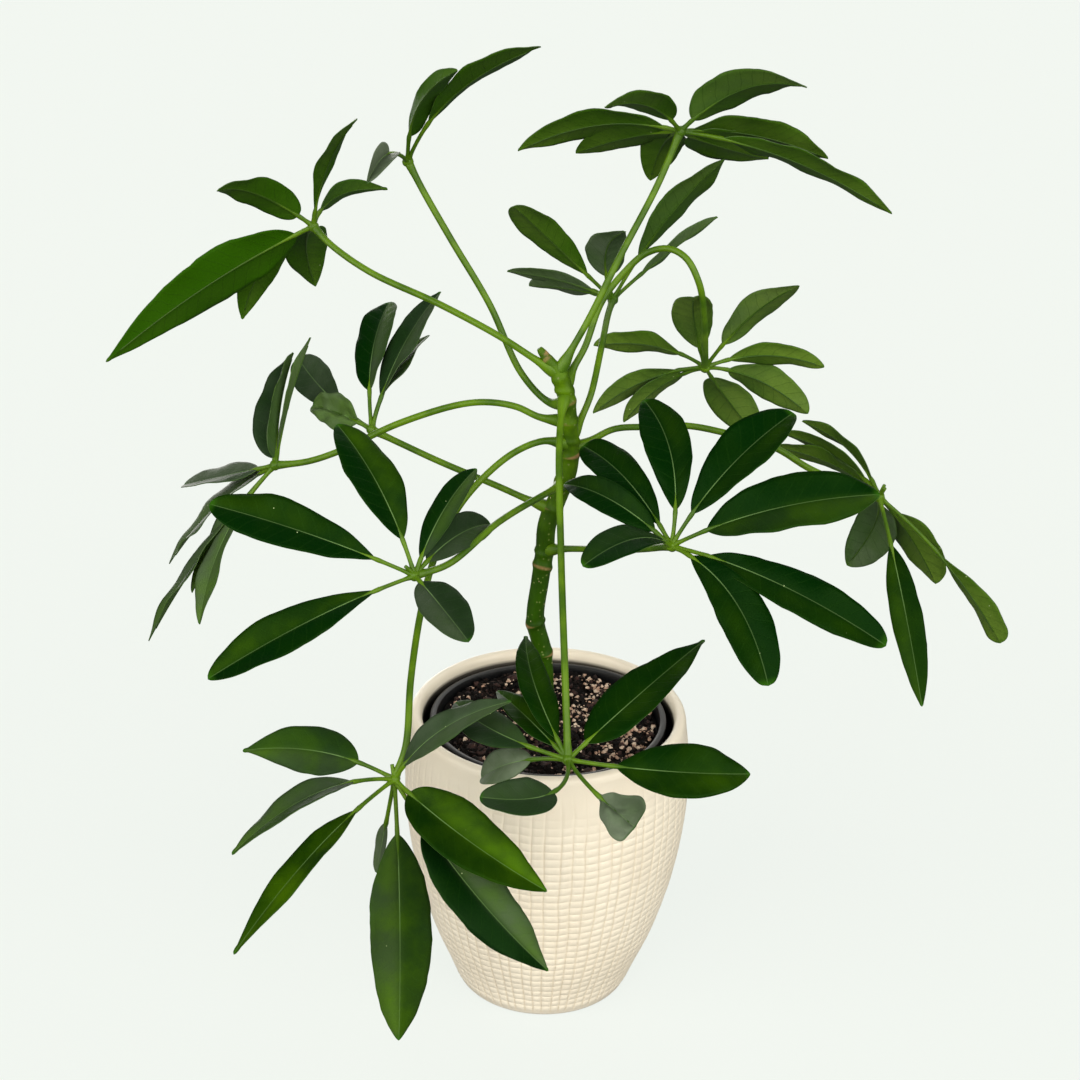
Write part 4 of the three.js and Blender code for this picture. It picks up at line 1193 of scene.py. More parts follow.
@dataclass
class Trunk:
    """The one green stem, ringed by the scars of dropped leaves, with the bud at its tip.

    Each scar is the height of its ring and how corky it is.
    """

    knots: tuple[tuple[float, float, float], ...] = (
        (-2, 25, 95.5), (-2, 25, 150), (-4, 25, 186), (-8, 24, 205), (-6, 23, 228), (-4, 23, 247),
        (-3, 22, 262), (2, 22, 277), (7, 21, 293), (8, 21, 302), (7, 20, 320), (5, 20, 335), (1, 20, 347),
        (-4.5, 20, 353.5), (-9, 20, 360),
    )
    scars: tuple[tuple[float, float], ...] = (
        (186, 1.0), (204, 0.9), (238, 0.6), (247, 0.4), (271, 0.9), (286, 0.4), (303, 0.8), (310, 0.35),
        (322, 0.5), (331, 0.45), (338, 0.2), (346, 0.15), (354, 0.5), (358, 0.8),
    )
    foot_radius: float = 4.9
    tip_radius: float = 4.2
    taper_from: float = 148.0
    taper_over: float = 202.0
    scar_rise: float = 0.75
    scar_width: float = 1.7
    bud_start: float = 344.0
    bud_length: float = 18.0
    steps: int = 300
    sides: int = 24
    pores: int = 46
    seed: int = 3

    def __post_init__(self) -> None:
        """Draw the middle of the trunk."""
        self.line = Line([Vector(knot) for knot in self.knots], 20)

    def centre(self, height: float) -> Vector:
        """Middle of the trunk at a height."""
        return min(self.line.points, key=lambda point: abs(point.z - height)).copy()

    def scar(self, height: float, angle: float) -> tuple[float, float]:
        """Measure the leaf scars at a place.

        Args:
            height: how high it is.
            angle: its turn round the trunk.

        Returns:
            How much the ring swells there and how corky it is, each from 0 to 1.
        """
        swollen = corky = 0.0
        for i, (ring, strength) in enumerate(self.scars):
            off_ring = height - (ring + 1.1 * math.sin(angle + 2.4 * i))
            facing = math.cos(angle - 1.9 * i)
            swollen = max(swollen, bell(off_ring, self.scar_width * (1.1 + 0.4 * facing)))
            line = bell(off_ring, 0.55 * self.scar_width * (1 + 0.6 * facing))
            corky = max(corky, strength * line * (0.6 + 0.4 * facing))
        return swollen, corky

    def radius(self, height: float, angle: float) -> float:
        """Measure the trunk at a place.

        Args:
            height: how high it is.
            angle: its turn round the trunk.

        Returns:
            The radius there.
        """
        share = clamp((height - self.taper_from) / self.taper_over)
        plain = self.foot_radius + (self.tip_radius - self.foot_radius) * share
        plain += 0.18 * math.sin(2 * angle + height / 17) + 0.1 * math.sin(3 * angle - height / 9)
        bud = clamp((height - self.bud_start) / self.bud_length)
        closing = math.sqrt(1 - bud) * (1 - 0.25 * bud)
        return (plain + self.scar_rise * self.scar(height, angle)[0]) * closing + 0.25

    def add_pores(self, bm: BMesh) -> None:
        """Dot the bark with breathing pores.

        Args:
            bm: the bmesh that gets them.
        """
        draw = random.Random(self.seed)
        batch = bmesh.new()
        for _ in range(self.pores):
            share, angle = draw.uniform(0.25, 0.93), draw.uniform(0, FULL_TURN)
            centre, across, over = self.line.at(share)
            outward = across * math.cos(angle) + over * math.sin(angle)
            spot = Matrix.Translation(centre + outward * (self.radius(centre.z, angle) + 0.02))
            turn = outward.to_track_quat("Z", "Y").to_matrix().to_4x4()
            size = Matrix.Diagonal((draw.uniform(0.22, 0.42), draw.uniform(0.35, 0.75), 0.2, 1))
            bmesh.ops.create_icosphere(batch, subdivisions=1, radius=1.0, matrix=spot @ turn @ size)
        for face in batch.faces:
            face.material_index = 1
        pour(batch, bm)

    def build(self, bark: Material, pore: Material) -> bpy.types.Object:
        """Make the trunk.

        Args:
            bark: its finish.
            pore: the finish of the pale pores.

        Returns:
            The piece.
        """
        bm = bmesh.new()
        layer = bm.verts.layers.float.new("scar")

        def radius(share: float, angle: float) -> float:
            """Radius at a share of the length."""
            return self.radius(self.line.at(share)[0].z, angle)

        def mark(vert: BMVert, share: float, angle: float) -> None:
            """Note how corky a vertex is."""
            vert[layer] = self.scar(self.line.at(share)[0].z, angle)[1]

        add_tube(bm, self.line, radius, self.steps, self.sides, mark=mark)
        self.add_pores(bm)
        return piece_from(bm, "trunk_grown", [bark, pore], "trunk")


# Leaves


class Habit(Enum):
    """How a blade holds its two halves: how far each is folded up, in degrees."""

    OPEN = 11.0
    FOLDED = 52.0
    CRUMPLED = 30.0


class Skin(Enum):
    """The material slots of a leaf."""

    UPPER = 0
    LOWER = 1
    STALK = 2
    MARGIN = 3


@dataclass(frozen=True)
class Leaflet:
    """One leaflet of a compound leaf.

    The heading is the compass turn of its line from +X and the rise its slope, in degrees. The reach runs
    from the hub to the tip, and the stalk is the share of it before the blade. The roll turns the blade's
    upper side to its right. The bow bends the line's middle to its right and the arch lifts it, in
    millimetres. The form says how slowly the outline opens from the base and closes to the tip. Fresh is 0
    for an old dark blade and 1 for a young pale one, and the leaf's own where there is none. Painted sheen
    is how much grey is painted on it as painted sheen, for the reflection of the bright room. Painted light
    half is how much paler its right half is painted than its left as painted light and sheen, from -1 to 1.
    """

    heading: float
    rise: float
    reach: float
    width: float
    roll: float
    stalk: float
    bow: float
    arch: float
    form: tuple[float, float]
    fresh: float | None = None
    painted_sheen: float = 0.0
    # How much paler the right half is painted than the left, as painted light and sheen
    painted_light_half: float = 0.2
    habit: Habit = Habit.OPEN


@dataclass(frozen=True)
class Leaf:
    """One compound leaf: where its stalk leaves the trunk, what the stalk passes, its hub and its leaflets.

    Attach is how high the stalk leaves. Each stub is the heading and rise of a leaflet that has dropped.
    """

    node: str
    attach: float
    via: tuple[tuple[float, float, float], ...]
    hub: tuple[float, float, float]
    leaflets: tuple[Leaflet, ...]
    fresh: float = 0.35
    stubs: tuple[tuple[float, float], ...] = ()


@dataclass
class Blade:
    """The shape of one leaflet, from the hub to its tip. The seed is a number of its own for its waves."""

    spec: Leaflet
    hub: Vector
    seed: int
    across_cells: int = 16
    along_cells: int = 44
    half_thickness: float = 0.28
    vein_spacing: float = 7.5
    round_from: float = 0.965
    round_over: float = 0.035
    rib_end: float = 0.93

    def __post_init__(self) -> None:
        """Work out the leaflet's directions and the widest place of its outline."""
        spec = self.spec
        heading, rise, roll = (math.radians(angle) for angle in (spec.heading, spec.rise, spec.roll))
        level = Vector((math.cos(heading), math.sin(heading), 0))
        self.line = level * math.cos(rise) + Vector((0, 0, math.sin(rise)))
        upright = Vector((0, 0, math.cos(rise))) - level * math.sin(rise)
        self.up = upright * math.cos(roll) + self.line.cross(upright) * math.sin(roll)
        self.side = self.line.cross(self.up)
        self.widest = self.outline(spec.form[0] / sum(spec.form))

    def at(self, t: float) -> tuple[Vector, Vector, Vector]:
        """Find a place on the leaflet's line.

        Args:
            t: the share of the way from the hub to the tip.

        Returns:
            The point, the direction to the leaflet's right and the direction up from its face.
        """
        bent, turning = 4 * t * (1 - t), 4 * (1 - 2 * t)
        spec = self.spec
        centre = self.hub + self.line * (spec.reach * t) + self.side * (spec.bow * bent)
        centre += self.up * (spec.arch * bent)
        ahead = self.line * spec.reach + self.side * (spec.bow * turning) + self.up * (spec.arch * turning)
        over = self.side.cross(ahead).normalized()
        return centre, ahead.cross(over).normalized(), over

    def outline(self, along: float) -> float:
        """Width of the blade from its base at 0 to its tip at 1, before it is scaled."""
        opening, closing = self.spec.form
        return clamp(along) ** opening * (1 - clamp(along)) ** closing

    def half_width(self, along: float) -> float:
        """Measure the blade from its rib to its margin.

        Args:
            along: the share from the blade's base to its tip.

        Returns:
            The width of one half, with a round end at the tip.
        """
        least = 0.75 + 0.45 * along
        if along > self.round_from:
            least = 1.2 * math.sqrt(max(0.0, 1 - ((along - self.round_from) / self.round_over) ** 2))
        return max(self.spec.width / 2 * self.outline(along) / self.widest, least)

    def surface(self, along: float, across: float) -> tuple[Vector, Vector, float]:
        """Find a place on the middle of the blade's thickness.

        Args:
            along: the share from the blade's base to its tip.
            across: from -1 at the left margin to 1 at the right.

        Returns:
            The point, the direction up from the face, and how far to the right of the midrib it lies.
        """
        spec = self.spec
        centre, right, over = self.at(spec.stalk + (1 - spec.stalk) * along)
        half = self.half_width(along)
        fold = math.radians(spec.habit.value)
        off = abs(across)
        sideways = across * half * math.cos(fold)
        lift = half * math.sin(fold) * (1.35 * off - 0.35 * off * off)
        run = along * (1 - spec.stalk) * spec.reach
        broad = min(half / 8, 1)
        hand = math.copysign(3, across) + 1.7 * self.seed
        lift += 3.0 * noise.noise(Vector((run / 17, hand, 0.5))) * off**2.4 * broad
        sideways *= 1 + 0.09 * noise.noise(Vector((run / 21, hand, 7.5)))
        sideways *= 1 + 0.04 * noise.noise(Vector((run / 6, hand, 3.5)))
        veins = math.cos(FULL_TURN * (run - 0.8 * off * half) / self.vein_spacing)
        lift -= 0.1 * veins * min(4 * off * (1.15 - off), 1) * broad
        lift -= 0.14 * bell(off * half, 0.6)
        if spec.habit is Habit.CRUMPLED:
            place = Vector((run / 9, across * 1.4, self.seed))
            lift += (4.6 * noise.noise(place) + 1.3 * noise.noise(place * 2.1)) * broad
            sideways += 4.0 * noise.noise(place + Vector((9, 4, 2))) * off
        return centre + right * sideways + over * lift, over, sideways

    def add_blade(self, bm: BMesh, fresh: float) -> None:
        """Draw the blade as one thin closed skin.

        Args:
            bm: the bmesh that gets it.
            fresh: how young it looks.
        """
        spec, cells, steps = self.spec, self.across_cells, self.along_cells
        around = 2 * cells + 2
        blade_layer = bm.verts.layers.float_vector["blade"]
        span_layer = bm.verts.layers.float_vector["span"]
        painted_sheen_layer = bm.verts.layers.float["painted_sheen"]
        length = (1 - spec.stalk) * spec.reach

        def shape(vert: BMVert, turn: int, step: int) -> None:
            """Put a vertex on the blade's upper or lower face.

            Args:
                vert: the vertex.
                turn: its number round the skin.
                step: its number along it.
            """
            part = step / steps
            along = part - 0.1 * math.sin(FULL_TURN * part)
            upper = turn <= cells
            even = 2 * (turn if upper else around - 1 - turn) / cells - 1
            across = math.copysign(abs(even) ** 1.3, even)
            point, over, sideways = self.surface(along, across)
            thick = self.half_thickness - 0.08 * abs(across) ** 4
            vert.co = point + over * (thick if upper else -thick)
            # Painted light and sheen: one half of the blade is painted paler, younger and greyer than the
            # other
            paler = spec.painted_light_half * math.tanh(7 * across) * (1 - 0.4 * abs(across) ** 3)
            vert[blade_layer] = (along, across, max(0.0, fresh + 0.35 * paler))
            vert[span_layer] = (along * length, sideways, self.seed * 40)
            # Painted sheen: grey painted over the blade, more on the half painted paler
            vert[painted_sheen_layer] = max(0.0, spec.painted_sheen + 0.3 * paler)

        def slot(turn: int, step: int) -> int:
            """Choose the skin of a cell.

            Args:
                turn: its number round the blade, over the upper face and back under the lower.
                step: its number along it.

            Returns:
                The material slot.
            """
            if turn in (cells, around - 1):
                return Skin.MARGIN.value
            return Skin.UPPER.value if turn < cells else Skin.LOWER.value

        roll_grid(bm, around, steps, shape, slot)

    def add_rib(self, bm: BMesh) -> None:
        """Draw the leaflet's own stalk and the midrib that it runs on into.

        Args:
            bm: the bmesh that gets it.
        """
        stalk, reach, end = self.spec.stalk, self.spec.reach, self.rib_end
        knots = []
        for t in [i / 22 for i in range(21)] + [end]:
            point, _, over = self.at(t)
            knots.append(point - over * (0.38 * smooth((t - stalk) / 0.1)))

        def radius(share: float, angle: float) -> float:
            """Measure the stalk, then the rib.

            Args:
                share: how far along the line it is.
                angle: its turn, which changes nothing here.

            Returns:
                The radius there.
            """
            t = end * share
            narrowing = 0.45 * smooth((t - stalk) / 0.1) + 0.25 * smooth((t - stalk) / 0.5)
            collar, swell = 0.75 * bell(t * reach, 3.5), 0.25 * bell((t - stalk) * reach, 2.5)
            return 1.05 - narrowing + collar + swell

        layer = bm.verts.layers.float_vector["blade"]

        def mark(vert: BMVert, share: float, angle: float) -> None:
            """Note how far along the blade a vertex of the rib lies."""
            vert[layer] = ((end * share - stalk) / (1 - stalk), 0, 0)

        add_tube(bm, Line(knots, 3), radius, 40, 10, Skin.STALK.value, mark)


@dataclass
class CompoundLeaf:
    """A leaf grown as one piece: its long stalk, its hub and its leaflets."""

    spec: Leaf
    trunk: Trunk
    seed: int
    stalk_radius: float = 1.72
    foot_flare: float = 1.8
    hub_radius: float = 2.9
    stub_length: float = 7.5
    stub_radius: float = 1.3

    def __post_init__(self) -> None:
        """Find the hub."""
        self.hub = Vector(self.spec.hub)

    def add_stalk(self, bm: BMesh) -> None:
        """Draw the long stalk, clasping the trunk at its foot and swollen at the hub.

        Args:
            bm: the bmesh that gets it.
        """
        knots = [self.trunk.centre(self.spec.attach), *(Vector(knot) for knot in self.spec.via), self.hub]
        line = Line(knots)

        def radius(share: float, angle: float) -> float:
            """Measure the long stalk, which has five faint ridges.

            Args:
                share: how far along the line it is.
                angle: its turn round the stalk.

            Returns:
                The radius there.
            """
            length = share * line.length
            flare = self.foot_flare * bell(max(0.0, length - 4), 7)
            swell = 0.6 * bell(line.length - length, 6)
            ridge = 0.07 * math.sin(5 * angle + length / 30)
            return self.stalk_radius + flare + swell + ridge

        add_tube(bm, line, radius, max(30, round(line.length / 2.4)), 16, Skin.STALK.value)

    def add_hub(self, bm: BMesh) -> None:
        """Draw the knob that the leaflets stand on, with a short stub where one has dropped.

        Args:
            bm: the bmesh that gets it.
        """
        for vert in bmesh.ops.create_icosphere(bm, subdivisions=3, radius=self.hub_radius)["verts"]:
            dent = 1 + 0.12 * noise.noise(vert.co * 0.6 + Vector((self.seed, 0, 0)))
            vert.co = self.hub + vert.co * dent
            for face in vert.link_faces:
                face.material_index = Skin.STALK.value
        for heading, rise in self.spec.stubs:
            level, up = math.radians(heading), math.radians(rise)
            away = Matrix.Rotation(level, 3, "Z") @ Matrix.Rotation(-up, 3, "Y")
            tip = self.hub + away @ Vector((self.stub_length, 0, 0))
            line = Line([self.hub, self.hub.lerp(tip, 0.5) + Vector((0, 0, 0.4)), tip], 4)
            add_tube(bm, line, lambda share, angle: self.stub_radius - 0.4 * share, 8, 10, Skin.STALK.value)

    def build(self, skins: Sequence[Material]) -> bpy.types.Object:
        """Make the leaf.

        Args:
            skins: the finishes in the order of the material slots.

        Returns:
            The piece.
        """
        bm = bmesh.new()
        bm.verts.layers.float_vector.new("blade")
        bm.verts.layers.float_vector.new("span")
        bm.verts.layers.float.new("painted_sheen")
        self.add_stalk(bm)
        self.add_hub(bm)
        for i, leaflet in enumerate(self.spec.leaflets):
            blade = Blade(leaflet, self.hub, self.seed * 10 + i)
            blade.add_rib(bm)
            blade.add_blade(bm, self.spec.fresh if leaflet.fresh is None else leaflet.fresh)
        return piece_from(bm, f"{self.spec.node}_grown", skins, self.spec.node)


LEAVES = (
    Leaf(
        node="leaf_top_left",
        attach=346,
        via=((-12, 19, 355), (-29, 22, 365), (-60, 38, 376), (-97, 58, 386), (-119, 73, 396)),
        hub=(-128, 80, 403),
        fresh=0.2,
        leaflets=(
            Leaflet(232, 26, 74, 19, 54, 0.12, 0.5, 11, (0.4, 0.85)),
            Leaflet(313, 59, 74, 17, 16, 0.1, -0.5, 6, (1.2, 0.7)),
            Leaflet(52, 8, 58, 16, -61, 0.2, 0.5, 10, (0.6, 1), painted_sheen=0.2),
            Leaflet(188, -33, 132, 30, 76, 0.08, 1, 11, (0.6, 1), fresh=0),
            Leaflet(147, -50, 80, 22, 38, 0.3, -5, 8, (0.6, 0.9)),
            Leaflet(96, -45, 68, 25, -12, 0.16, -3, 6.8, (0.45, 0.8)),
        ),
    ),
    Leaf(
        node="leaf_top_centre",
        attach=331,
        via=((-4, 29, 328), (-18, 35, 341), (-35, 46, 374), (-55, 57, 404), (-70, 66, 427)),
        hub=(-78, 70, 441),
        fresh=0.15,
        leaflets=(
            Leaflet(298, 45, 82, 18, -50, 0.2, 8.5, 1, (0.35, 0.7), painted_sheen=0.2, habit=Habit.FOLDED),
            Leaflet(328, 41, 104, 23, -14, 0.26, 8, 7, (0.9, 0.6)),
            Leaflet(255, 4, 62, 17, -40, 0.45, 6, 6.2, (0.35, 0.6), painted_sheen=0.9, habit=Habit.FOLDED),
        ),
    ),
    Leaf(
        node="leaf_top_right",
        attach=347,
        via=((6, 21, 357), (16, 26, 375), (30, 36, 403), (48, 51, 436)),
        hub=(59, 60, 462),
        fresh=0.4,
        leaflets=(
            Leaflet(322, 25, 79, 25, -38, 0.1, 1.5, 11, (0.55, 0.9), painted_sheen=0.3),
            Leaflet(20, -13, 86, 28, -39, 0.08, -2, 7, (0.55, 0.85)),
            Leaflet(6, -21, 120, 24, -36, 0.18, -2.5, 9, (0.9, 0.95)),
            Leaflet(38, -20, 66, 26, -38, 0.14, -3, 1, (0.5, 0.7)),
            Leaflet(232, 20, 68, 22, 30, 0.16, -4, 6, (0.6, 0.75)),
            Leaflet(157, -13, 91, 25, 44, 0.1, 0, 10, (0.75, 0.9)),
            Leaflet(139, -19, 72, 23, 38, 0.15, 2, 4.5, (0.6, 0.7)),
            Leaflet(103, -37, 64, 22, 16, 0.2, -2, 6.4, (0.4, 0.65)),
        ),
    ),
    Leaf(
        node="leaf_back_middle",
        attach=311,
        via=((14, 32, 320), (18, 38, 329), (23, 60, 346), (27, 92, 354)),
        hub=(30, 110, 357),
        fresh=0.3,
        leaflets=(
            Leaflet(215, 43, 90, 19, 50, 0.21, 4.5, 9, (0.75, 0.55), fresh=0.45),
            Leaflet(149, 3, 68, 15, 44, 0.2, 2, 4, (0.8, 0.8), painted_sheen=0.75),
            Leaflet(138, -6, 62, 17, 40, 0.25, 2, 3, (0.8, 0.6), painted_sheen=0.75),
            Leaflet(275, 50, 66, 22, -12, 0.22, 8, 6.6, (0.55, 1), fresh=0, painted_sheen=0.75),
            Leaflet(335, 55, 104, 22, -36, 0.26, -1, 7, (0.9, 0.9), painted_sheen=0.3),
            Leaflet(41, 23, 84, 14, -60, 0.3, -3, 3, (0.8, 0.8), painted_sheen=0.55),
        ),
    ),
    Leaf(
        node="leaf_back_right",
        attach=338,
        via=(
            (8, 28, 346), (14, 34, 356), (22, 44, 377), (33, 50, 391), (44, 52, 401), (55, 48, 405),
            (64, 42, 402), (71, 38, 390), (75, 46, 369),
        ),
        hub=(79, 72, 333),
        fresh=0.9,
        leaflets=(
            Leaflet(253, 54, 62, 22, 18, 0.2, 2, 6.2, (0.6, 0.5), painted_sheen=0.25),
            Leaflet(326, 47, 76, 19, -42, 0.2, -0.5, 7.6, (0.7, 0.8), painted_sheen=0.4),
            Leaflet(359, 2, 63, 18, -65, 0.2, 1, 8, (0.7, 0.75)),
            Leaflet(15, -27, 68, 22, -64, 0.22, 1, 8, (0.7, 0.65), painted_sheen=0.3),
            Leaflet(40, -49, 70, 24, -44, 0.2, -4, 7, (0.65, 0.6), painted_sheen=0.3),
            Leaflet(156, -41, 60, 15, 46, 0.23, -1, 6, (0.8, 0.75), painted_sheen=0.3),
            Leaflet(165, -29, 69, 16, 55, 0.23, -1, 6.9, (0.8, 0.75), painted_sheen=0.3),
            Leaflet(147, -2, 70, 17, 60, 0.25, -1, 7, (0.8, 0.7)),
        ),
    ),
    Leaf(
        node="leaf_far_right",
        attach=304,
        via=(
            (17, 24, 308), (30, 28, 314), (47, 30, 315), (67, 28, 317), (86, 25, 315), (113, 20, 309),
            (132, 16, 299),
        ),
        hub=(167, 10, 287),
        fresh=0.6,
        stubs=((60, 40), (300, 60)),
        leaflets=(
            Leaflet(125, 18.5, 66, 14, 60, 0.16, -1, 6.6, (0.55, 0.7), painted_sheen=0.3),
            Leaflet(131, 11, 70, 18, 56, 0.18, 0, 6, (0.75, 0.7), painted_sheen=0.2),
            Leaflet(133, 4.5, 72, 18, 58, 0.17, 3, 7.2, (0.75, 0.7)),
            Leaflet(104, -58, 64, 26, 60, 0.12, 1.5, 6.4, (0.55, 0.6), fresh=0.1, painted_sheen=0.65),
            Leaflet(286, -50, 110, 16.5, 10, 0.24, 0.5, 7, (0.75, 0.8), fresh=0.15),
            Leaflet(25, -54, 70, 28, -25, 0.22, -1, 4, (0.6, 0.6), fresh=0.8),
            Leaflet(352, -48, 104, 20, -45, 0.4, 1, 5, (1.4, 0.5), fresh=0.8),
        ),
    ),
    Leaf(
        node="leaf_front_right",
        attach=247,
        via=((6, 14, 252), (15, 8, 255), (29, -12, 264), (45, -40, 278)),
        hub=(57, -60, 289),
        fresh=0,
        leaflets=(
            Leaflet(225, 8, 62, 17, -24, 0.08, 2, 9, (0.9, 0.5), painted_sheen=0.15),
            Leaflet(135, 7, 74, 16.5, -43, 0.14, 3, 9, (0.6, 0.7), painted_sheen=0.1),
            Leaflet(122, 16, 84, 20, -36, 0.14, 4.5, 7, (0.8, 0.55)),
            Leaflet(101, 36, 84, 23.5, -25, 0.19, 9.5, 7, (0.75, 0.65)),
            Leaflet(29, 41, 88, 27.5, 21, 0.2, -0.7, 8.8, (0.8, 0.55)),
            Leaflet(352, 20, 103, 30, 41, 0.19, -1.5, 9, (0.7, 0.65), fresh=0.1, painted_sheen=0.1, painted_light_half=0.3),
            Leaflet(323, -7, 120, 21, 42, 0.18, -3, 8, (0.75, 0.5)),
            Leaflet(302, -25, 90, 23, 39, 0.14, -10, 7, (0.75, 0.45)),
        ),
    ),
    Leaf(
        node="leaf_upper_left",
        attach=271,
        via=((-12, 23, 275), (-28, 26, 281), (-60, 35, 291), (-81, 42, 298)),
        hub=(-96, 45, 304),
        fresh=0,
        leaflets=(
            Leaflet(86, 36, 82, 23, -29, 0.26, -1, 7, (0.7, 0.5), painted_sheen=0.25, painted_light_half=0.8),
            Leaflet(60, 41, 88, 18, -16, 0.2, -0.5, 6, (0.8, 0.9), painted_sheen=0.4, painted_light_half=0.4),
            Leaflet(62, 31, 68, 16, -20, 0.3, -3, 5, (0.8, 0.8), fresh=0.5, painted_sheen=0.45, painted_light_half=-0.5),
            Leaflet(126, 12, 78, 22, -42, 0.36, -3, 2, (0.7, 0.5), painted_sheen=0.5, painted_light_half=0.1),
            Leaflet(
                148, 8, 39, 20, -48, 0.25, 1, 0, (0.5, 0.5),
                fresh=0.9, painted_sheen=0.7, painted_light_half=0, habit=Habit.CRUMPLED,
            ),
        ),
    ),
    Leaf(
        node="leaf_far_left",
        attach=321,
        via=(
            (-8, 17, 324), (-20, 18, 329), (-34, 21, 330), (-49, 22, 328), (-80, 22, 317),
            (-113, 22, 300), (-128, 21, 295),
        ),
        hub=(-144, 20, 293),
        fresh=0.3,
        leaflets=(
            Leaflet(
                85, 39, 68, 24, -54, 0.05, 3, 4, (0.5, 0.9),
                fresh=0.1, painted_sheen=0.45, painted_light_half=0.3, habit=Habit.FOLDED,
            ),
            Leaflet(76, 42, 76, 15, -76, 0.08, 0, 2, (0.8, 0.9), painted_sheen=0.6),
            Leaflet(147, -23, 70, 20, -18, 0.15, -3.5, 2, (0.6, 0.6), fresh=0, painted_sheen=0.7),
            Leaflet(159, -46, 96, 24, -22, 0.1, 5, 4, (0.8, 0.8), painted_sheen=0.6),
            Leaflet(186, -55, 122, 20, 2, 0.3, 0, 4, (0.9, 0.8), painted_sheen=0.5),
            Leaflet(190, -57, 84, 20, -14, 0.27, 3, 2, (0.8, 0.7), fresh=0.7, painted_sheen=0.45),
            Leaflet(216, -59, 92, 16, -5, 0.35, 4.5, 6, (0.8, 0.8), fresh=0.6, painted_sheen=0.55),
        ),
    ),
    Leaf(
        node="leaf_front_left",
        attach=286,
        via=((0, 9, 288), (-27, -20, 282), (-51, -50, 272)),
        hub=(-67, -60, 270),
        fresh=0.15,
        stubs=((200, 50),),
        leaflets=(
            Leaflet(129, 41, 88, 24, -17, 0.2, 2, 8.8, (0.75, 0.7), fresh=0.12, painted_light_half=0.4),
            Leaflet(176, 18, 105, 25, -42, 0.19, 0, 6, (0.95, 0.6), fresh=0.03),
            Leaflet(211, -15, 113, 22, -30, 0.19, 0, 7, (1, 0.65), fresh=0.08, painted_light_half=0.35),
            Leaflet(61, 32, 68, 14, 12, 0.12, -1.5, 6.8, (0.7, 0.7), fresh=0.08, painted_sheen=0.25, painted_light_half=0.6),
            Leaflet(52, 8, 58, 19, 37, 0.16, -3.5, 5.8, (0.6, 0.5), fresh=0.05, painted_sheen=0.45, painted_light_half=0.15),
            Leaflet(297, -6, 63, 22, 13, 0.12, 0.3, 2, (0.7, 0.6), fresh=0.02, painted_sheen=0.45, painted_light_half=0.3),
        ),
    ),
    Leaf(
        node="leaf_lower_left",
        attach=308,
        via=(
            (-6, 12, 313), (-20, 9, 308), (-35, 3, 297), (-49, -7, 282), (-60, -24, 261),
            (-65, -45, 243), (-68, -78, 222), (-69, -103, 199),
        ),
        hub=(-74, -110, 185),
        fresh=0.4,
        stubs=((120, 70), (20, 60)),
        leaflets=(
            Leaflet(166, 2, 78, 25, -41, 0.25, 6.5, 1, (0.65, 1.1), fresh=0.3, painted_sheen=0.3, painted_light_half=-0.3),
            Leaflet(220, -4, 92, 17, 4, 0.26, -1, 12, (0.6, 1), fresh=0.3, painted_sheen=0.42),
            Leaflet(233, -20, 118, 15, 0, 0.24, -3, 11, (0.8, 1), fresh=0.38, painted_light_half=-0.2),
            Leaflet(142, -78, 60, 9, -80, 0.46, 0, 0, (0.6, 0.6), painted_sheen=0.8),
            Leaflet(276, -76, 134, 31, -8, 0.2, -1, 3, (0.72, 0.82), fresh=0.42, painted_sheen=0.3, painted_light_half=0.4),
            Leaflet(331, -22, 92, 30, 31, 0.12, 5.5, 9.2, (0.6, 0.9), fresh=0.36, painted_light_half=-0.6),
            Leaflet(332, -43, 118, 29, 31, 0.22, 7.5, 11, (0.7, 0.95), fresh=0.15, painted_sheen=0.35, painted_light_half=-0.9),
            Leaflet(355, 40, 73, 17, 30, 0.12, -3, 7.3, (0.7, 0.9), fresh=0.1, painted_sheen=0.6),
        ),
    ),
    Leaf(
        node="leaf_front_centre",
        attach=336,
        via=((3, 10, 330), (2, -10, 317), (4, -55, 278), (7, -103, 238)),
        hub=(9, -125, 207),
        fresh=0.15,
        leaflets=(
            Leaflet(108, 24, 76, 16.5, 0, 0.13, -6.5, 7.6, (0.8, 1), fresh=0.1, painted_light_half=0.1),
            Leaflet(44, 19, 98, 24, 16, 0.12, 2, 6, (0.6, 1.1), fresh=0.08, painted_light_half=0.15),
            Leaflet(357, -2, 86, 28, 40, 0.26, 5, 8.6, (0.9, 0.85), fresh=0.12, painted_light_half=0.15),
            Leaflet(309, -14, 51, 26, 34, 0.57, 2.5, 5.4, (1, 0.15), painted_sheen=1, painted_light_half=0, habit=Habit.CRUMPLED),
            Leaflet(225, 3, 57, 20, -25, 0.46, -15.5, 6, (0.5, 0.5), fresh=0.05, painted_sheen=0.4, painted_light_half=0.1),
            Leaflet(153, -27, 52, 18, -40, 0.35, 1.5, 5.2, (0.6, 0.5), fresh=0.2, painted_sheen=1, painted_light_half=0),
            Leaflet(140, 3, 72, 19, -24, 0.25, -8, 7.2, (0.8, 0.8), fresh=0.05, painted_sheen=0.42),
            Leaflet(126, 9, 60, 14.5, -18, 0.14, -1.5, 6, (0.8, 0.9), fresh=0.15),
        ),
    ),
)

# Studio


@dataclass(frozen=True)
class Sun:
    """A broad soft lamp far away: where it shines from, how wide it looks in degrees, and its strength."""

    name: str
    side: tuple[float, float, float]
    spread: float
    strength: float
    colour: str = "#FFFBF3"

    def hang(self) -> None:
        """Light the room with it."""
        lamp = bpy.data.lights.new(self.name, "SUN")
        lamp.angle = math.radians(self.spread)
        lamp.energy = self.strength
        lamp.color = linear(self.colour)[:3]
        hung = bpy.data.objects.new(self.name, lamp)
        turn = (-Vector(self.side)).to_track_quat("-Z", "Y").to_matrix().to_4x4()
        hung.matrix_world = Matrix.Translation(self.side) @ turn
        bpy.context.scene.collection.objects.link(hung)


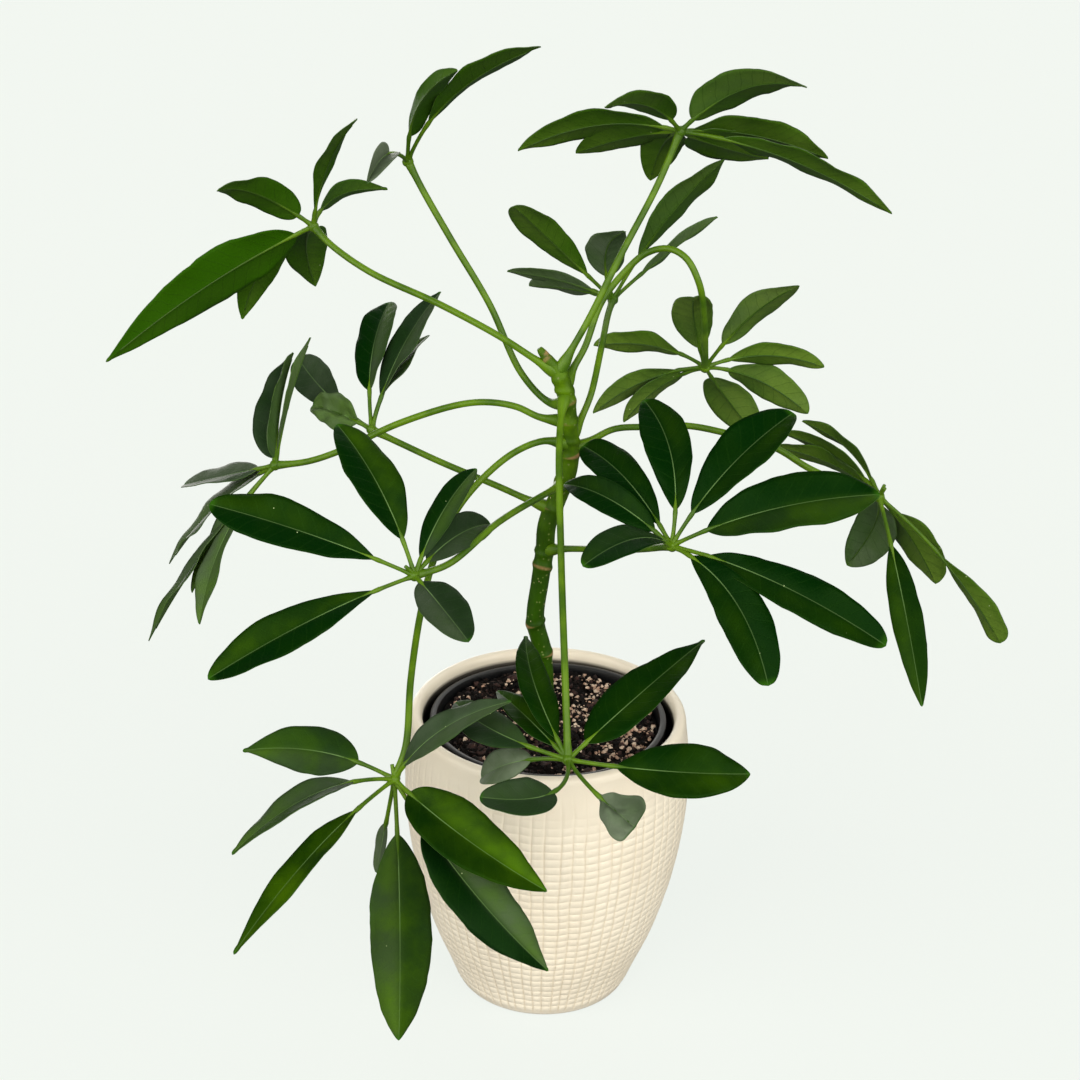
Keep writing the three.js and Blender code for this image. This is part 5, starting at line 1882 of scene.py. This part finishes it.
@dataclass(frozen=True)
class Studio:
    """A plain pale sweep under large soft lamps, with the camera in front and above. Sizes are in metres."""

    camera_at: tuple[float, float, float] = (-0.0065, -1.0, 0.721)
    pitch: float = 65.4
    tilt: float = 1.3
    lens: float = 71.43
    sensor: float = 36.0
    sight: float = 100.0
    floor_size: float = 80.0
    floor_paint: str = "#5E605D"
    floor_glow: str = "#EFF4EF"
    room_light: str = "#F3F6F2"
    room_seen: str = "#F1F6EF"
    suns: tuple[Sun, ...] = (
        Sun("left_light", (-1.0, -0.8, 0.5), 55, 2.2),
        Sun("right_light", (1.0, -0.8, 0.5), 55, 2.1),
        Sun("front_light", (0.0, -1.0, 0.55), 60, 1.6),
        Sun("back_light", (0.3, 1.0, 0.9), 60, 0.8, "#FFFCF6"),
        Sun("low_back_light", (-0.2, 1.0, 0.0), 40, 1.1, "#FFFCF6"),
    )

    def add_camera(self) -> None:
        """Stand the camera at the photo's angle."""
        camera = bpy.data.objects.new("camera", bpy.data.cameras.new("camera"))
        camera.data.lens = self.lens
        camera.data.sensor_width = self.sensor
        camera.data.clip_end = self.sight
        pitch, tilt = math.radians(self.pitch), math.radians(self.tilt)
        turn = Matrix.Rotation(pitch, 4, "X") @ Matrix.Rotation(tilt, 4, "Z")
        camera.matrix_world = Matrix.Translation(self.camera_at) @ turn
        bpy.context.scene.collection.objects.link(camera)
        bpy.context.scene.camera = camera

    def add_floor(self) -> None:
        """Lay a pale matte floor that keeps only a faint shadow."""
        bm = bmesh.new()
        bmesh.ops.create_grid(bm, x_segments=1, y_segments=1, size=self.floor_size / 2)
        mesh = bpy.data.meshes.new("floor")
        bm.to_mesh(mesh)
        bm.free()
        matte = {"Roughness": 1.0, "Specular IOR Level": 0.0, "Base Color": self.floor_paint}
        glow = {"Emission Strength": 0.885, "Emission Color": self.floor_glow}
        mesh.materials.append(Surface("matte_floor_paint", matte | glow).material)
        floor = bpy.data.objects.new("floor", mesh)
        bpy.context.scene.collection.objects.link(floor)
        floor.visible_diffuse = False
        floor.visible_glossy = False

    def add_room(self) -> None:
        """Fill the room with faint light, between walls that are seen as pale as the floor."""
        world = bpy.data.worlds.new("pale_room")
        world.use_nodes = True
        tree = world.node_tree
        tree.nodes.clear()
        light = add_node(tree, "Background", {"Color": self.room_light, "Strength": 0.2})
        walls = add_node(tree, "Background", {"Color": self.room_seen})
        seen = add_node(tree, "LightPath", {}).outputs["Is Camera Ray"]
        add_node(tree, "OutputWorld", {"Surface": add_node(tree, "MixShader", {0: seen, 1: light, 2: walls})})
        bpy.context.scene.world = world

    def build(self) -> None:
        """Set the studio up."""
        bpy.context.scene.view_settings.view_transform = "Standard"
        self.add_camera()
        self.add_room()
        self.add_floor()
        for sun in self.suns:
            sun.hang()


def main() -> None:
    """Build the plant piece by piece."""
    logging.basicConfig(level=logging.INFO, format="%(name)s: %(message)s")
    CoverPot().build(SatinGlaze().build(), BareClay().build())
    NurseryPot().build(MouldedPolypropylene().build())
    PottingMix().build(CrumblyMix().build(), BarkChips().build(), PumiceGrit().build())
    trunk = Trunk()
    trunk.build(YoungBark().build(), CorkPore().build())
    skins = [finish.build() for finish in (LeafSkin(), LeafUnderside(), GreenStalk(), LeafMargin())]
    for number, leaf in enumerate(LEAVES, 1):
        CompoundLeaf(leaf, trunk, number).build(skins)
    Studio().build()


if __name__ == "__main__":
    main()
